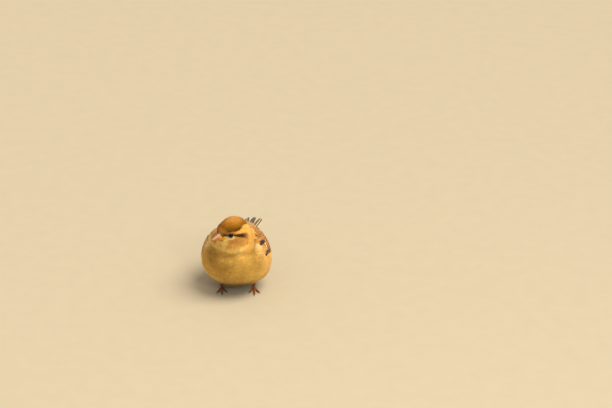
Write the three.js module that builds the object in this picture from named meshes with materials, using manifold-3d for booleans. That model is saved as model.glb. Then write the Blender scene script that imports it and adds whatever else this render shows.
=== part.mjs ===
// A female house sparrow fluffed up against the cold, life size, standing on both feet with
// its head turned to its right. The body is modelled whole, as a smooth union of ellipsoids,
// and parted into its named pieces by thin cuts.
import * as THREE from "three";
import { mergeVertices } from "three/addons/utils/BufferGeometryUtils.js";
import Module from "manifold-3d";

const wasm = await Module();
wasm.setup();

// Sizes are in millimetres. The bird faces -Y, its left side is +X, and it stands on z = 0.
// The points below are measured from the floor midway between its two feet.
const GAP = 0.3; // clearance between neighbouring pieces
const RAY_REACH = 80; // past every point of the body, from inside it
const RAY_STEP = 0.005; // how closely a ray's end is found
const rad = THREE.MathUtils.degToRad;
const vec = (x, y, z) => new THREE.Vector3(x, y, z);

const TRUNK_LENGTH = 77;
const TRUNK_WIDTH = 71;
const TRUNK_HEIGHT = 66;
const TRUNK_MIDDLE = vec(0, 0.5, 40);
const TRUNK_BLEND = 6;

const HEAD_MIDDLE = vec(0.4, -20, 76.5);
const HEAD_YAW = rad(-37);
const HEAD_PITCH = rad(0);
const HEAD_BLEND = 5;
const HEAD_REACH = 26;
const HEAD_TUCK = 0.6; // how far the head's form runs down inside the trunk's

const NECK_CUT_ABOVE = 20; // the cuts are two spheres centred this far up the neck's axis
const NECK_AXIS = vec(0, -0.35, 0.94).normalize();
const HEAD_CUT_RADIUS = 33;
const NECK_CUT_RADIUS = 42;

const EYE_RADIUS = 3.2;
const EYE_AT = vec(8.25, -8.9, 1.3); // in the head's frame
const BILL_ROOT = vec(0, -12.8, -1.2);
const BILL_LENGTH = 15.4; // with the 3 mm that the face feathers hide
const BILL_DROOP = 1.2;
const BILL_HALF_WIDTH = 4.1;
const UPPER_BILL_DEPTH = 5;
const LOWER_BILL_DEPTH = 4;
const BILL_GAP = 0.15;

const WING_THICKNESS = 2.4;
const WING_PROUD = 0.5; // how far the folded wing stands out from the body feathers
const WING_MIDLINE_GAP = 1.2;

const TAIL_FEATHERS = 12;
const TAIL_ROOT = vec(0, 40, 41);
const TAIL_LENGTH = 52.5;
const TAIL_SLOPE = rad(-5.5);
const TAIL_FAN_STEP = rad(1.15);
const RECTRIX_HALF_WIDTH = 3.3;
const RECTRIX_THICKNESS = 0.6;
const RECTRIX_STACK = 0.24;

// Each leg by its ankle, the joint of its toes and where the foot points. It stands with
// the right foot ahead of the left.
const LEGS = {
  left: { side: 1, ankle: vec(17.4, 11, 17), joint: vec(19, -0.7, 2.1), heading: rad(10) },
  right: { side: -1, ankle: vec(-15.8, 5, 16.6), joint: vec(-14.8, -7, 2.1), heading: rad(17) },
};
const TARSUS_RADIUS = 1.25;
const CUFF_TOP_RADIUS = 7;
const CUFF_END_RADIUS = 2.5;
const TOE_RADIUS = 0.95;
const TOE_HEIGHT = 0.66; // of the toe's middle line over the floor, under its flattened pads
const CLAW_RADIUS = 0.62;
const CLAW_TIP_RADIUS = 0.25;

// Each toe by its heading from straight ahead, its length and its claw's length.
const TOES = {
  hind: { heading: 176, length: 9, claw: 6.2 },
  inner: { heading: -22, length: 10.5, claw: 4.4 },
  middle: { heading: 3, length: 14.5, claw: 5 },
  outer: { heading: 27, length: 11.5, claw: 4.2 },
};

// ---- shapes as distances ----

function lump(at, radii, frame = null) {
  return { at: vec(...at), radii: vec(...radii), frame };
}

// Distance from a point to an ellipsoid's surface, negative inside.
function toLump(point, { at, radii, frame }) {
  const p = point.clone();
  if (frame) p.applyMatrix4(frame);
  p.sub(at).divide(radii);
  const scaled = p.length();
  const slope = p.divide(radii).length();
  return slope > 0 ? (scaled * (scaled - 1)) / slope : -Math.min(radii.x, radii.y, radii.z);
}

// Distance to several ellipsoids that melt into each other over the blend width.
function toLumps(point, lumps, blend) {
  let nearest = Infinity;
  for (const one of lumps) {
    const d = toLump(point, one);
    const overlap = Math.max(blend - Math.abs(nearest - d), 0);
    nearest = Math.min(nearest, d) - (overlap * overlap) / (4 * blend);
  }
  return nearest;
}

// How far along a ray from inside the shape its surface lies, or reach if it is further.
function rayLength(origin, direction, lumps, blend, reach, level) {
  const at = (t) => toLumps(origin.clone().addScaledVector(direction, t), lumps, blend) - level;
  let inside = 0;
  let outside = reach;
  if (at(reach) < 0) return reach;
  while (outside - inside > RAY_STEP) {
    const middle = (inside + outside) / 2;
    if (at(middle) < 0) inside = middle;
    else outside = middle;
  }
  return inside;
}

// A closed surface round origin: a sphere whose vertices move out to the lumps' surface.
function balloon(origin, lumps, { blend, reach = RAY_REACH, level = 0, around, along }) {
  const sphere = new THREE.SphereGeometry(1, around, along);
  const place = sphere.attributes.position;
  const direction = new THREE.Vector3();
  for (let i = 0; i < place.count; i++) {
    direction.fromBufferAttribute(place, i).normalize();
    const length = rayLength(origin, direction, lumps, blend, reach, level);
    direction.multiplyScalar(length).add(origin);
    place.setXYZ(i, direction.x, direction.y, direction.z);
  }
  return toSolid(sphere);
}

// ---- geometry to solids and back ----

function toSolid(geometry, matrix = new THREE.Matrix4()) {
  const bare = geometry.clone().applyMatrix4(matrix);
  bare.deleteAttribute("normal");
  bare.deleteAttribute("uv");
  const merged = mergeVertices(bare, 1e-4);
  return new wasm.Manifold(
    new wasm.Mesh({
      numProp: 3,
      vertProperties: new Float32Array(merged.attributes.position.array),
      triVerts: new Uint32Array(merged.index.array),
    }),
  );
}

function toGeometry(solid) {
  const { vertProperties, triVerts } = solid.getMesh();
  const geometry = new THREE.BufferGeometry();
  geometry.setAttribute("position", new THREE.BufferAttribute(vertProperties, 3));
  geometry.setIndex(new THREE.BufferAttribute(triVerts, 1));
  geometry.computeVertexNormals();
  return geometry;
}

function ball(at, radius, around, along) {
  return toSolid(new THREE.SphereGeometry(radius, around, along).translate(at.x, at.y, at.z));
}

// A closed rod along a curve: a lathe form whose rings are set across the curve.
// section(t, turn) gives the ring's reach sideways and upwards at that turn. With a floor
// it is pressed flat there, and has one of its sides underneath.
function rod(curve, section, { rings, sides, up = vec(0, 0, 1), floor = null }) {
  const profile = [];
  for (let i = 0; i <= rings; i++) {
    const t = (1 - Math.cos((Math.PI * i) / rings)) / 2;
    profile.push(new THREE.Vector2(i === 0 || i === rings ? 0 : 1, t));
  }
  const form = new THREE.LatheGeometry(profile, sides, floor === null ? 0 : Math.PI / sides);
  const place = form.attributes.position;
  for (let i = 0; i < place.count; i++) {
    const t = THREE.MathUtils.clamp(place.getY(i), 0, 1);
    const onAxis = Math.hypot(place.getX(i), place.getZ(i)) < 0.5;
    const turn = Math.atan2(place.getZ(i), place.getX(i));
    const tangent = curve.getTangent(t);
    const side = new THREE.Vector3().crossVectors(tangent, up).normalize();
    const above = new THREE.Vector3().crossVectors(side, tangent);
    const [across, over] = section(t, turn);
    const point = curve.getPoint(t);
    if (!onAxis) {
      point.addScaledVector(side, across * Math.cos(turn));
      point.addScaledVector(above, over * Math.sin(turn));
    }
    if (floor !== null) point.z = Math.max(point.z, floor);
    place.setXYZ(i, point.x, point.y, point.z);
  }
  return toSolid(form);
}

function smoothCurve(...points) {
  return new THREE.CatmullRomCurve3(points, false, "centripetal");
}

// ---- body, neck and head ----

const headFrame = new THREE.Matrix4()
  .makeRotationFromEuler(new THREE.Euler(HEAD_PITCH, 0, HEAD_YAW, "ZYX"))
  .setPosition(HEAD_MIDDLE);
const intoHead = headFrame.clone().invert();

const trunkLumps = [
  lump(TRUNK_MIDDLE, [TRUNK_WIDTH / 2, TRUNK_LENGTH / 2, TRUNK_HEIGHT / 2]),
  lump([0, 1, 31.5], [36.2, 32, 25.6]), // belly and flanks
  lump([0, -11, 60], [23, 19, 17]), // shoulders and collar
  lump([0, 27, 45], [17, 24, 15]), // rump
  lump([0, 33, 34.5], [16, 23, 13]), // vent
  lump([0, 46, 40], [9.5, 21, 6.6]), // tail coverts
];

const bothSides = ([x, y, z], radii) => [
  lump([x, y, z], radii, intoHead),
  lump([-x, y, z], radii, intoHead),
];
const headLumps = [
  lump([0, 1.5, 2], [13, 15, 12.6], intoHead), // crown
  lump([0, 9, -4], [13.4, 11, 13], intoHead), // nape
  ...bothSides([6.2, -2.5, -4.6], [6.8, 8.6, 7.4]), // ear coverts
  ...bothSides([5.2, -8.5, 4.2], [4.2, 5.6, 3.4]), // brows
  lump([0, -11.5, -0.6], [5.8, 6.2, 6.2], intoHead), // lores and forehead
  lump([0, -8.5, -7.4], [7, 8, 6], intoHead), // chin
  lump([0, -5, -14], [13, 12, 9], intoHead), // throat
];

const trunkWhole = balloon(TRUNK_MIDDLE, trunkLumps, {
  blend: TRUNK_BLEND,
  around: 27,
  along: 21,
});
// The head's form ends inside the trunk's, so that the two meet along a clean line.
const tucked = trunkLumps.map(({ at, radii }) => ({
  at,
  radii: radii.clone().subScalar(HEAD_TUCK),
}));
const headWhole = balloon(HEAD_MIDDLE, [...headLumps, ...tucked], {
  blend: HEAD_BLEND,
  reach: HEAD_REACH,
  around: 24,
  along: 18,
});
const body = trunkWhole.add(headWhole);

const cutCentre = HEAD_MIDDLE.clone().addScaledVector(NECK_AXIS, NECK_CUT_ABOVE);
const cutBall = (radius) => ball(cutCentre, radius, 20, 13);
let head = body.intersect(cutBall(HEAD_CUT_RADIUS));
const neck = body.subtract(cutBall(HEAD_CUT_RADIUS + GAP)).intersect(cutBall(NECK_CUT_RADIUS));
let trunk = body.subtract(cutBall(NECK_CUT_RADIUS + GAP));

// ---- eyes and bill ----

function eye(side, radius) {
  const at = vec(side * EYE_AT.x, EYE_AT.y, EYE_AT.z).applyMatrix4(headFrame);
  return ball(at, radius, 12, 9);
}
head = head.subtract(eye(1, EYE_RADIUS + GAP)).subtract(eye(-1, EYE_RADIUS + GAP));

// One mandible: round above or below, nearly flat where the two meet, drooping to its tip.
function mandible(isUpper, grown) {
  const meet = isUpper ? BILL_GAP / 2 : -BILL_GAP / 2;
  const reach = isUpper ? BILL_LENGTH : 0.95 * BILL_LENGTH;
  const line = smoothCurve(
    ...[0, 0.35, 0.7, 1].map((t) =>
      vec(0, BILL_ROOT.y - reach * t, BILL_ROOT.z + meet - BILL_DROOP * t * t),
    ),
  );
  const depth = isUpper ? UPPER_BILL_DEPTH : LOWER_BILL_DEPTH;
  const taper = (t) => 0.95 * Math.pow(1 - t, 0.62) * (1 - 0.1 * Math.sin(Math.PI * t)) + 0.05;
  const section = (t, turn) => {
    const outward = isUpper ? Math.sin(turn) > 0 : Math.sin(turn) < 0;
    const over = outward ? depth * taper(t) : -0.02;
    return [BILL_HALF_WIDTH * taper(t) + grown, over + grown];
  };
  const shape = rod(line, section, { rings: 8, sides: 12 });
  return shape.transform(headFrame.elements);
}
const billUpper = mandible(true, 0);
const billLower = mandible(false, 0);
head = head.subtract(mandible(true, GAP)).subtract(mandible(false, GAP));

// ---- wings ----

// The folded wing lies on the trunk and runs on past it to the tips of the primaries.
const wingLumps = [
  ...trunkLumps,
  lump([5, 18, 40], [22, 36, 16]), // the folded secondaries and their coverts
  lump([2, 36, 44], [9.5, 30, 13]), // the primaries
];

// The wing's outline seen from the side, from the bend over the back to the tips and round.
const WING_MIDDLE = vec(3, 10, 44);
const WING_OUTLINE_STEPS = 24;
const WING_UPPER_EDGE = [
  [-15, 54],
  [-8, 59.5],
  [6, 61.5],
  [20, 57.5],
  [34, 51.5],
  [48, 47.5],
  [60, 45],
];
const WING_LOWER_EDGE = [
  [64.5, 43.2],
  [60, 41.4],
  [52, 39.8],
  [40, 38.5],
  [22, 39.5],
  [3, 43],
  [-9, 47],
  [-15, 51],
];

// The outline as a closed shape, pushed outwards all round by the grown width.
function wingOutline(grown) {
  const corners = [...WING_UPPER_EDGE, ...WING_LOWER_EDGE, WING_UPPER_EDGE[0]];
  const edge = new THREE.SplineCurve(corners.map(([y, z]) => new THREE.Vector2(y, z)));
  const points = edge.getPoints(WING_OUTLINE_STEPS).slice(0, -1);
  const count = points.length;
  const moved = points.map((point, i) => {
    const before = points[(i + count - 1) % count];
    const along = points[(i + 1) % count].clone().sub(before).normalize();
    return new THREE.Vector2(point.x - along.y * grown, point.y + along.x * grown);
  });
  return new THREE.Shape(moved);
}

// The outline pushed out sideways from the midline, as a solid that covers the wing's place.
function wingPrism(grown) {
  const form = new THREE.ExtrudeGeometry(wingOutline(grown), {
    depth: TRUNK_WIDTH,
    bevelEnabled: false,
  });
  const turned = new THREE.Matrix4()
    .makeBasis(vec(0, 1, 0), vec(0, 0, 1), vec(1, 0, 0))
    .setPosition(WING_MIDLINE_GAP - grown, 0, 0);
  return toSolid(form, turned);
}

const wingShell = (level) =>
  balloon(WING_MIDDLE, wingLumps, {
    blend: TRUNK_BLEND,
    level,
    around: 24,
    along: 20,
  });
const wingInside = WING_PROUD - WING_THICKNESS;
const wing = wingShell(WING_PROUD).subtract(wingShell(wingInside)).intersect(wingPrism(0));
const wingPlace = wingPrism(GAP).subtract(wingShell(wingInside - GAP));
trunk = trunk.subtract(wingPlace).subtract(mirrored(wingPlace));

function mirrored(solid) {
  return solid.mirror([1, 0, 0]);
}

// ---- tail ----

function rectrixOutline(length, grown) {
  const half = RECTRIX_HALF_WIDTH + grown;
  const shape = new THREE.Shape();
  shape.moveTo(-half * 0.35, 0);
  shape.lineTo(half * 0.35, 0);
  shape.quadraticCurveTo(half * 0.95, length * 0.45, half, length * 0.86);
  shape.quadraticCurveTo(half * 0.98, length * 0.975, half * 0.2, length + grown);
  shape.quadraticCurveTo(-half * 0.9, length * 0.985, -half * 0.96, length * 0.84);
  shape.quadraticCurveTo(-half * 0.9, length * 0.45, -half * 0.35, 0);
  return shape;
}

// The rectrices overlap like a fan, the middle pair on top and a little shorter.
function tailFan(grown) {
  let fan = null;
  for (let i = 0; i < TAIL_FEATHERS; i++) {
    const place = i - (TAIL_FEATHERS - 1) / 2;
    const outward = Math.abs(place) - 0.5;
    const length = TAIL_LENGTH - 1.6 * Math.exp(-outward / 1.5) - 0.12 * outward * outward;
    const form = new THREE.ExtrudeGeometry(rectrixOutline(length, grown), {
      depth: RECTRIX_THICKNESS + 2 * grown,
      bevelEnabled: false,
      curveSegments: 2,
    });
    form.scale(place < 0 ? 1 : -1, 1, 1);
    if (place > 0) turnFacesRound(form);
    const fanned = new THREE.Matrix4()
      .makeRotationZ(-place * TAIL_FAN_STEP)
      .setPosition(place * 0.35, 0, -outward * RECTRIX_STACK - 0.02 * Math.sign(place) - grown);
    const solid = toSolid(form, fanned);
    fan = fan ? fan.add(solid) : solid;
  }
  const sloped = new THREE.Matrix4().makeRotationX(TAIL_SLOPE).setPosition(TAIL_ROOT);
  return fan.transform(sloped.elements);
}

// Turns each face of an unindexed geometry round, after a mirroring scale.
function turnFacesRound(geometry) {
  const place = geometry.attributes.position.array;
  for (let i = 0; i < place.length; i += 9) {
    for (let k = 0; k < 3; k++) {
      [place[i + 3 + k], place[i + 6 + k]] = [place[i + 6 + k], place[i + 3 + k]];
    }
  }
}
const tail = tailFan(0);
trunk = trunk.subtract(tailFan(GAP));

// ---- legs and feet ----

// The bare shank, thicker at both of its joints.
function tarsus({ ankle, joint }, grown) {
  const line = smoothCurve(
    ankle,
    ankle.clone().lerp(joint, 0.5).add(vec(0, 0.4, 0)),
    ankle.clone().lerp(joint, 0.9).add(vec(0, 0.3, 0)),
    joint,
  );
  const section = (t) => {
    const radius = TARSUS_RADIUS * (1 + 0.35 * Math.pow(2 * Math.abs(t - 0.5), 3)) + grown;
    return [radius * 0.92, radius];
  };
  return rod(line, section, { rings: 8, sides: 8, up: vec(0, -1, 0) });
}

// The feathered shin, which shows as a short cuff under the belly.
function cuff({ ankle, joint }, grown) {
  const line = smoothCurve(
    ankle.clone().add(vec(-1.5 * Math.sign(ankle.x), 2, 8)),
    ankle.clone().add(vec(-0.5 * Math.sign(ankle.x), -0.5, -0.5)),
    ankle.clone().lerp(joint, 0.55),
  );
  const section = (t) => {
    const radius = THREE.MathUtils.lerp(CUFF_TOP_RADIUS, CUFF_END_RADIUS, t) + grown;
    return [radius, radius];
  };
  return rod(line, section, { rings: 6, sides: 10, up: vec(0, -1, 0) });
}

// A point of the foot, which is modelled as a left one with its joint over the origin.
function footPoint(heading, distance, height) {
  const angle = rad(heading);
  return vec(Math.sin(angle) * distance, -Math.cos(angle) * distance, height);
}

// A toe swells at its three pads, and is pressed flat where they stand on the floor.
function toe({ heading, length }) {
  const line = smoothCurve(
    footPoint(heading, 0, 1.9),
    footPoint(heading, 0.22 * length, 1.2),
    footPoint(heading, 0.48 * length, TOE_HEIGHT),
    footPoint(heading, 0.8 * length, TOE_HEIGHT),
    footPoint(heading, length, TOE_HEIGHT + 0.15),
  );
  const section = (t) => {
    const pads = 0.13 * Math.cos(6 * Math.PI * t);
    const radius = TOE_RADIUS * (1.06 - 0.22 * t + pads);
    return [radius, radius];
  };
  return rod(line, section, { rings: 10, sides: 6, floor: 0 });
}

function claw({ heading, length, claw: reach }, grown) {
  const start = length - 1;
  const line = smoothCurve(
    footPoint(heading, start, 1.15),
    footPoint(heading, start + 0.35 * reach, 1.75),
    footPoint(heading, start + 0.75 * reach, 1.35),
    footPoint(heading, start + reach, CLAW_TIP_RADIUS + 0.12),
  );
  const section = (t) => {
    const radius = THREE.MathUtils.lerp(CLAW_RADIUS, CLAW_TIP_RADIUS, t) + grown;
    return [radius * 0.85, radius];
  };
  return rod(line, section, { rings: 5, sides: 6 });
}

// Where a foot stands: the left foot's shape turned, put under its joint, and mirrored
// for the right.
function footPlace({ side, joint, heading }) {
  const mirror = new THREE.Matrix4().makeScale(side, 1, 1);
  const turn = new THREE.Matrix4().makeRotationZ(heading);
  return turn.setPosition(joint.x, joint.y, 0).multiply(mirror);
}

const toeKinds = Object.entries(TOES);
let looseFoot = toeKinds.map(([, kind]) => toe(kind)).reduce((joined, one) => joined.add(one));
for (const [, kind] of toeKinds) looseFoot = looseFoot.subtract(claw(kind, GAP));

for (const leg of Object.values(LEGS)) {
  trunk = trunk.subtract(cuff(leg, GAP)).subtract(tarsus(leg, GAP));
}

// ---- the bird ----

const looks = {
  plumage: { color: 0xc79a55, roughness: 0.9 },
  crown: { color: 0x9a6a2c, roughness: 0.9 },
  quills: { color: 0x5e4327, roughness: 0.7 },
  horn: { color: 0xe0a878, roughness: 0.4 },
  leg: { color: 0x8a4f2c, roughness: 0.55 },
  claw: { color: 0x3a2a20, roughness: 0.4 },
  eye: { color: 0x120b07, roughness: 0.08 },
};

const bird = new THREE.Group();
bird.name = "house_sparrow";

function addPiece(name, solid, look, side = 1) {
  const material = new THREE.MeshStandardMaterial({ ...looks[look], metalness: 0 });
  const mesh = new THREE.Mesh(toGeometry(solid), material);
  mesh.name = name;
  mesh.scale.x = side;
  bird.add(mesh);
}

addPiece("trunk", trunk, "plumage");
addPiece("neck", neck, "plumage");
addPiece("head", head, "crown");
addPiece("bill_upper", billUpper, "horn");
addPiece("bill_lower", billLower, "horn");
addPiece("eye_left", eye(1, EYE_RADIUS), "eye");
addPiece("eye_right", eye(-1, EYE_RADIUS), "eye");
addPiece("tail", tail, "quills");
for (const [name, leg] of Object.entries(LEGS)) {
  const place = footPlace(leg).elements;
  const shank = tarsus(leg, 0);
  addPiece(`wing_${name}`, wing, "quills", leg.side);
  addPiece(`thigh_${name}`, cuff(leg, 0).subtract(tarsus(leg, GAP)), "plumage");
  addPiece(`tarsus_${name}`, shank, "leg");
  addPiece(`foot_${name}`, looseFoot.transform(place).subtract(tarsus(leg, GAP)), "leg");
  for (const [toeName, kind] of toeKinds) {
    addPiece(`claw_${name}_${toeName}`, claw(kind, 0).transform(place), "claw");
  }
}

// The origin goes on the floor under the middle of the whole bird.
const extent = new THREE.Box3().setFromObject(bird, true);
const middle = extent.getCenter(vec(0, 0, 0));
bird.position.set(-middle.x, -middle.y, -extent.min.z);

export default bird;
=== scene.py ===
# A female house sparrow fluffed up against the cold, life size, as a museum would show it.
# One skin lies under a coat of separate feather locks, with vaned feathers on back, wings
# and tail. Shapes are worked out in millimetres, measured from the floor midway between the
# feet: the bird faces -Y, its left side is +X, and it stands on z = 0.
import math

import bpy
import numpy as np
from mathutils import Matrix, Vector, kdtree


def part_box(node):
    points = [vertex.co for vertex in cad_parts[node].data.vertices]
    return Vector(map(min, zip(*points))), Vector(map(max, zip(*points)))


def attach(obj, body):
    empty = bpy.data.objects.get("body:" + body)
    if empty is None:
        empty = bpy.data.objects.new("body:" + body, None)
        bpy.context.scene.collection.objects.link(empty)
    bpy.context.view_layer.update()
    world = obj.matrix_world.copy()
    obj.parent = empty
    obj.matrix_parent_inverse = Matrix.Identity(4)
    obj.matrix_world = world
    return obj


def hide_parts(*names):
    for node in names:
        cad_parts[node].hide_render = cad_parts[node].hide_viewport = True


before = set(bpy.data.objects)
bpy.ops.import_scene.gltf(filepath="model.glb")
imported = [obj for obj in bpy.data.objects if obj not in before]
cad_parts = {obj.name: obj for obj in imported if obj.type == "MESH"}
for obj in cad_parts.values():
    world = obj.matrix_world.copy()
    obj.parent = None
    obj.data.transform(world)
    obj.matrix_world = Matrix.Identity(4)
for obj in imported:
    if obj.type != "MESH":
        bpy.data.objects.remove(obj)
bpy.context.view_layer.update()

MM = 0.001
SEED = 7

# ---- sizes, in millimetres ----

HEAD_MIDDLE = np.array([0.4, -20.0, 76.5])
SKULL_MIDDLE = HEAD_MIDDLE + (0, 2, -4)
HEAD_YAW = math.radians(-37)
EYE_AT = np.array([8.25, -8.9, 1.3])  # in the head's frame
EYE_RADIUS = 3.2
EYE_FACING = (0.83, -0.52, 0.2)
EYE_OPENING = 2.35  # radius of the round between the lids
LID_REACH = np.array([0.5, 0.36, 0.22, 0.1, 0.0])  # the lids' rim, from outside in
LID_RISE = np.array([0.02, 0.15, 0.2, 0.15, 0.02])  # and how far it stands off the ball
LID_SKIRT = 4.4  # from the middle of the eye to where the feathers hide the lids
LID_THICKNESS = 0.3
BILL_ROOT = np.array([0.0, -12.8, -1.2])
BILL_LENGTH = 15.4
BILL_DROOP = 1.2
BILL_HALF_WIDTH = 4.1
UPPER_BILL_DEPTH = 5.0
LOWER_BILL_DEPTH = 4.4
BILL_GAP = 0.15
NOSTRIL_AT = 0.262  # as a share of the upper bill's length
NOSTRIL_TURN = 0.82  # and as an angle down each side from its ridge

# The body as ellipsoids that melt into each other: middle, radii.
TRUNK_LUMPS = [
    ((0, 0.5, 40), (35.5, 38.5, 33)),
    ((0, 1, 31.5), (36.2, 32, 25.6)),
    ((0, -11, 60), (23, 19, 17)),
    ((0, 27, 45), (17, 24, 15)),
    ((0, 33, 34.5), (16, 23, 13)),
    ((0, 46, 40), (9.5, 21, 6.6)),
]
HEAD_LUMPS = [
    ((0, 1.5, 2), (13, 15, 12.6)),
    ((0, 9, -4), (13.4, 11, 13)),
    ((6.2, -2.5, -4.6), (6.8, 8.6, 7.4)),
    ((5.2, -8.5, 4.2), (4.2, 5.6, 3.4)),
    ((0, -11.5, -0.6), (5.8, 6.2, 6.2)),
    ((0, -8.5, -7.4), (7, 8, 6)),
    ((0, -5, -14), (13, 12, 9)),
]
WING_LUMPS = [
    ((5, 18, 40), (22, 36, 16)),
    ((2, 36, 44), (9.5, 30, 13)),
]
TAIL_ROOT_LUMP = ((0, 60, 39.2), (6.5, 21, 1.7))
BILL_ROOT_LUMP = ((0, -10, -1.2), (4.0, 14, 4.9))  # in the head's frame, as its lumps are
CUFF_RADII = (7.0, 4.6, 2.6)  # of the feathered cuffs round the shanks, from the top down

# A shallow hollow across the upper back, behind the raised neck.
BACK_HOLLOW_AT = np.array([0.0, 19.0, 66.0])
BACK_HOLLOW_REACH = np.array([44.0, 19.0, 12.0])
BACK_HOLLOW_DEPTH = 3.6

# How far from their meeting the parts of the body start to melt into each other.
TRUNK_BLEND = 6
HEAD_BLEND = 5
TAIL_ROOT_BLEND = 4
CUFF_BLEND = 3
WING_BLEND = 2
BILL_ROOT_BLEND = 1

BODY_DEPTH = 3.0  # from the feather tips in to the skin
HEAD_DEPTH = 1.0
FACE_DEPTH = 0.6
CUFF_DEPTH = 0.9
SKIN_VOXEL = 0.9

# The coat on the face, on the back of the head and on the body.
SPACING = [0.62, 0.86, 1.7]
LENGTH = [1.7, 3.4, 8.2]
HALF_WIDTH = [0.6, 1.05, 2.4]
MANTLE_SPACING = 1.9
STREAK_SPACING = 6.5  # between the dark streaks of the mantle
COVERT_SPACING = 2.2
EYE_CLEARANCE = 3.35  # no feathers nearer an eye's middle than this
COAT_END = 56  # the coat's last feathers, along the tail
COAT_PIECE_LIMIT = 190000  # triangles

# A feather's locks: how far they spread and how thick they are at shares of their length.
LOCK_SPREAD = ([0, 0.35, 0.7, 1.0], [0.3, 0.72, 1.0, 0.96])
LOCK_TAPER = ([0, 0.4, 0.8, 1], [0.6, 1.0, 0.72, 0])
LOCK_SHADE = ([0, 0.5, 1], [0.8, 0.95, 1.03])  # darker at the root
LOCK_FATNESS = 1.62
LOCK_ROUNDNESS = 0.35
CENTRE_TAPER = ([0, 0.5, 0.9, 1], [1, 1, 0.6, 0.2])  # of the patch in a feather's middle
SHORT_LOCK = (0, 0.55, 1)  # where along it a lock's rings stand
LONG_LOCK = (0, 0.4, 0.75, 1)

# tone is how bright the leg's skin is; the right leg's lower tone is painted shade, where it stands
# in the bird's own shadow.
LEGS = {
    "left": dict(side=1, ankle=(17.4, 11, 17), joint=(19, -0.7, 2.1), heading=10, tone=1.0),
    "right": dict(side=-1, ankle=(-15.8, 5, 16.6), joint=(-14.8, -7, 2.1), heading=17, tone=0.6),
}
TOES = {
    "hind": dict(heading=176, length=9.0, claw=6.2),
    "inner": dict(heading=-22, length=10.5, claw=4.4),
    "middle": dict(heading=3, length=14.5, claw=5.0),
    "outer": dict(heading=27, length=11.5, claw=4.2),
}
TARSUS_RADIUS = 1.25
TOE_RADIUS = 0.95
TOE_HEIGHT = 0.66
CLAW_RADIUS = 0.62
CLAW_TIP_RADIUS = 0.22
SHANK_SCUTE = 1.45  # length of a scale
TOE_SCUTE = 0.95
LEG_VOXEL = 0.2

TAIL_FEATHERS = 12
TAIL_ROOT = np.array([0.0, 40.0, 41.0])
TAIL_LENGTH = 52.5
TAIL_SLOPE = math.radians(-5.5)
TAIL_FAN_STEP = math.radians(1.15)
TAIL_CLUMP = 4  # the feathers lie in loose groups of this many
TAIL_CLUMP_GAP = math.radians(4.6)
TAIL_CLUMP_TIGHTNESS = 0.5
RECTRIX_HALF_WIDTH = 2.5
RECTRIX_STACK = 0.24

# The fine barbs of a vane, as waves that slant out from its shaft.
BARB_SLANT = -2.2
BARB_PITCH = 13.0

# The folded wing's outline seen from the side, (y, z), from its bend over the back and round.
WING_OUTLINE = [
    (-15, 54), (-8, 59.5), (6, 61.5), (20, 57.5), (34, 51.5), (48, 47.5), (60, 45),
    (64.5, 43.2), (60, 41.4), (52, 39.8), (40, 38.5), (22, 39.5), (3, 43), (-9, 47), (-15, 51),
]

WING_BEND = -14.0  # ahead of this the soft coat covers the wing

CAMERA_AT = np.array([468.325, -2025.539, 1146.965])
CAMERA_HEADING = 11.002
CAMERA_DOWN = 26.8
CAMERA_LENS = 131.76
SENSOR_WIDTH = 36
FLOOR_HALF_SIZE = 6.0  # in metres


def srgb(*levels):
    """A colour's linear values, from its 0 to 255 levels on a screen."""
    part = np.array(levels, float) / 255
    return np.where(part <= 0.04045, part / 12.92, ((part + 0.055) / 1.055) ** 2.4)


BREAST = srgb(223, 173, 81)
BELLY = srgb(234, 189, 98)
# Painted shade for the underside of the belly.
BELLY_PAINTED_SHADE = srgb(112, 88, 42)
FLANK = srgb(238, 184, 100)
VENT = srgb(204, 168, 112)
# The breast's greyish brown sides, also used as painted shade on breast and belly.
BREAST_SIDE_AND_SHADE = srgb(172, 124, 54)
THROAT = srgb(255, 213, 118)
CHIN = srgb(246, 198, 106)
CHEEK = srgb(204, 144, 66)
EAR_COVERTS = srgb(220, 156, 74)
NECK_BUFF = srgb(234, 170, 82)
CROWN_TOP_LIT = srgb(198, 134, 56)
CROWN = srgb(164, 106, 14)
CROWN_DARK = srgb(106, 62, 4)
FOREHEAD = srgb(178, 118, 42)
NAPE = srgb(186, 136, 76)
BROW = srgb(250, 190, 90)
BROW_FRONT = srgb(214, 136, 32)
EYE_STRIPE = srgb(72, 40, 12)
EYE_RING = srgb(255, 226, 156)
BILL_SHADOW = srgb(150, 88, 50)
LORE = srgb(116, 78, 28)
MANTLE = srgb(200, 138, 68)
MANTLE_EDGE = srgb(232, 174, 98)
MANTLE_DARK = srgb(58, 38, 22)
SCAPULAR = srgb(132, 84, 36)
NECK_CREASE_SHADE = srgb(138, 92, 40)
RUMP = srgb(200, 152, 96)
WING_DARK = srgb(74, 50, 28)
WING_RUFOUS = srgb(198, 124, 48)
WING_BUFF = srgb(236, 188, 112)
WING_BAR = srgb(250, 212, 140)
SPOT_DARK = srgb(40, 20, 6)
PALE_SHOULDER = srgb(246, 200, 124)
PRIMARY_DARK = srgb(84, 64, 44)
PRIMARY_EDGE = srgb(196, 148, 92)
TAIL_DARK = srgb(100, 82, 66)
TAIL_EDGE = srgb(250, 216, 156)
BILL_TOP = srgb(172, 126, 98)
BILL_SIDE = srgb(212, 134, 62)
BILL_TIP = srgb(120, 84, 60)
BILL_SEAM = srgb(110, 62, 30)
GAPE = srgb(244, 166, 14)
LID = srgb(176, 138, 88)
LID_TOP = srgb(110, 70, 34)
LID_EDGE = srgb(58, 38, 26)
LEG = srgb(168, 90, 28)
LEG_GROOVE = srgb(84, 42, 18)
CLAW = srgb(58, 40, 28)
CLAW_BASE = srgb(128, 86, 56)
FLOOR = srgb(196, 181, 152)
PUPIL = srgb(4, 4, 4)
IRIS = srgb(34, 19, 12)
IRIS_RIM = srgb(10, 7, 6)
NOSTRIL = srgb(50, 28, 20)
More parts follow.
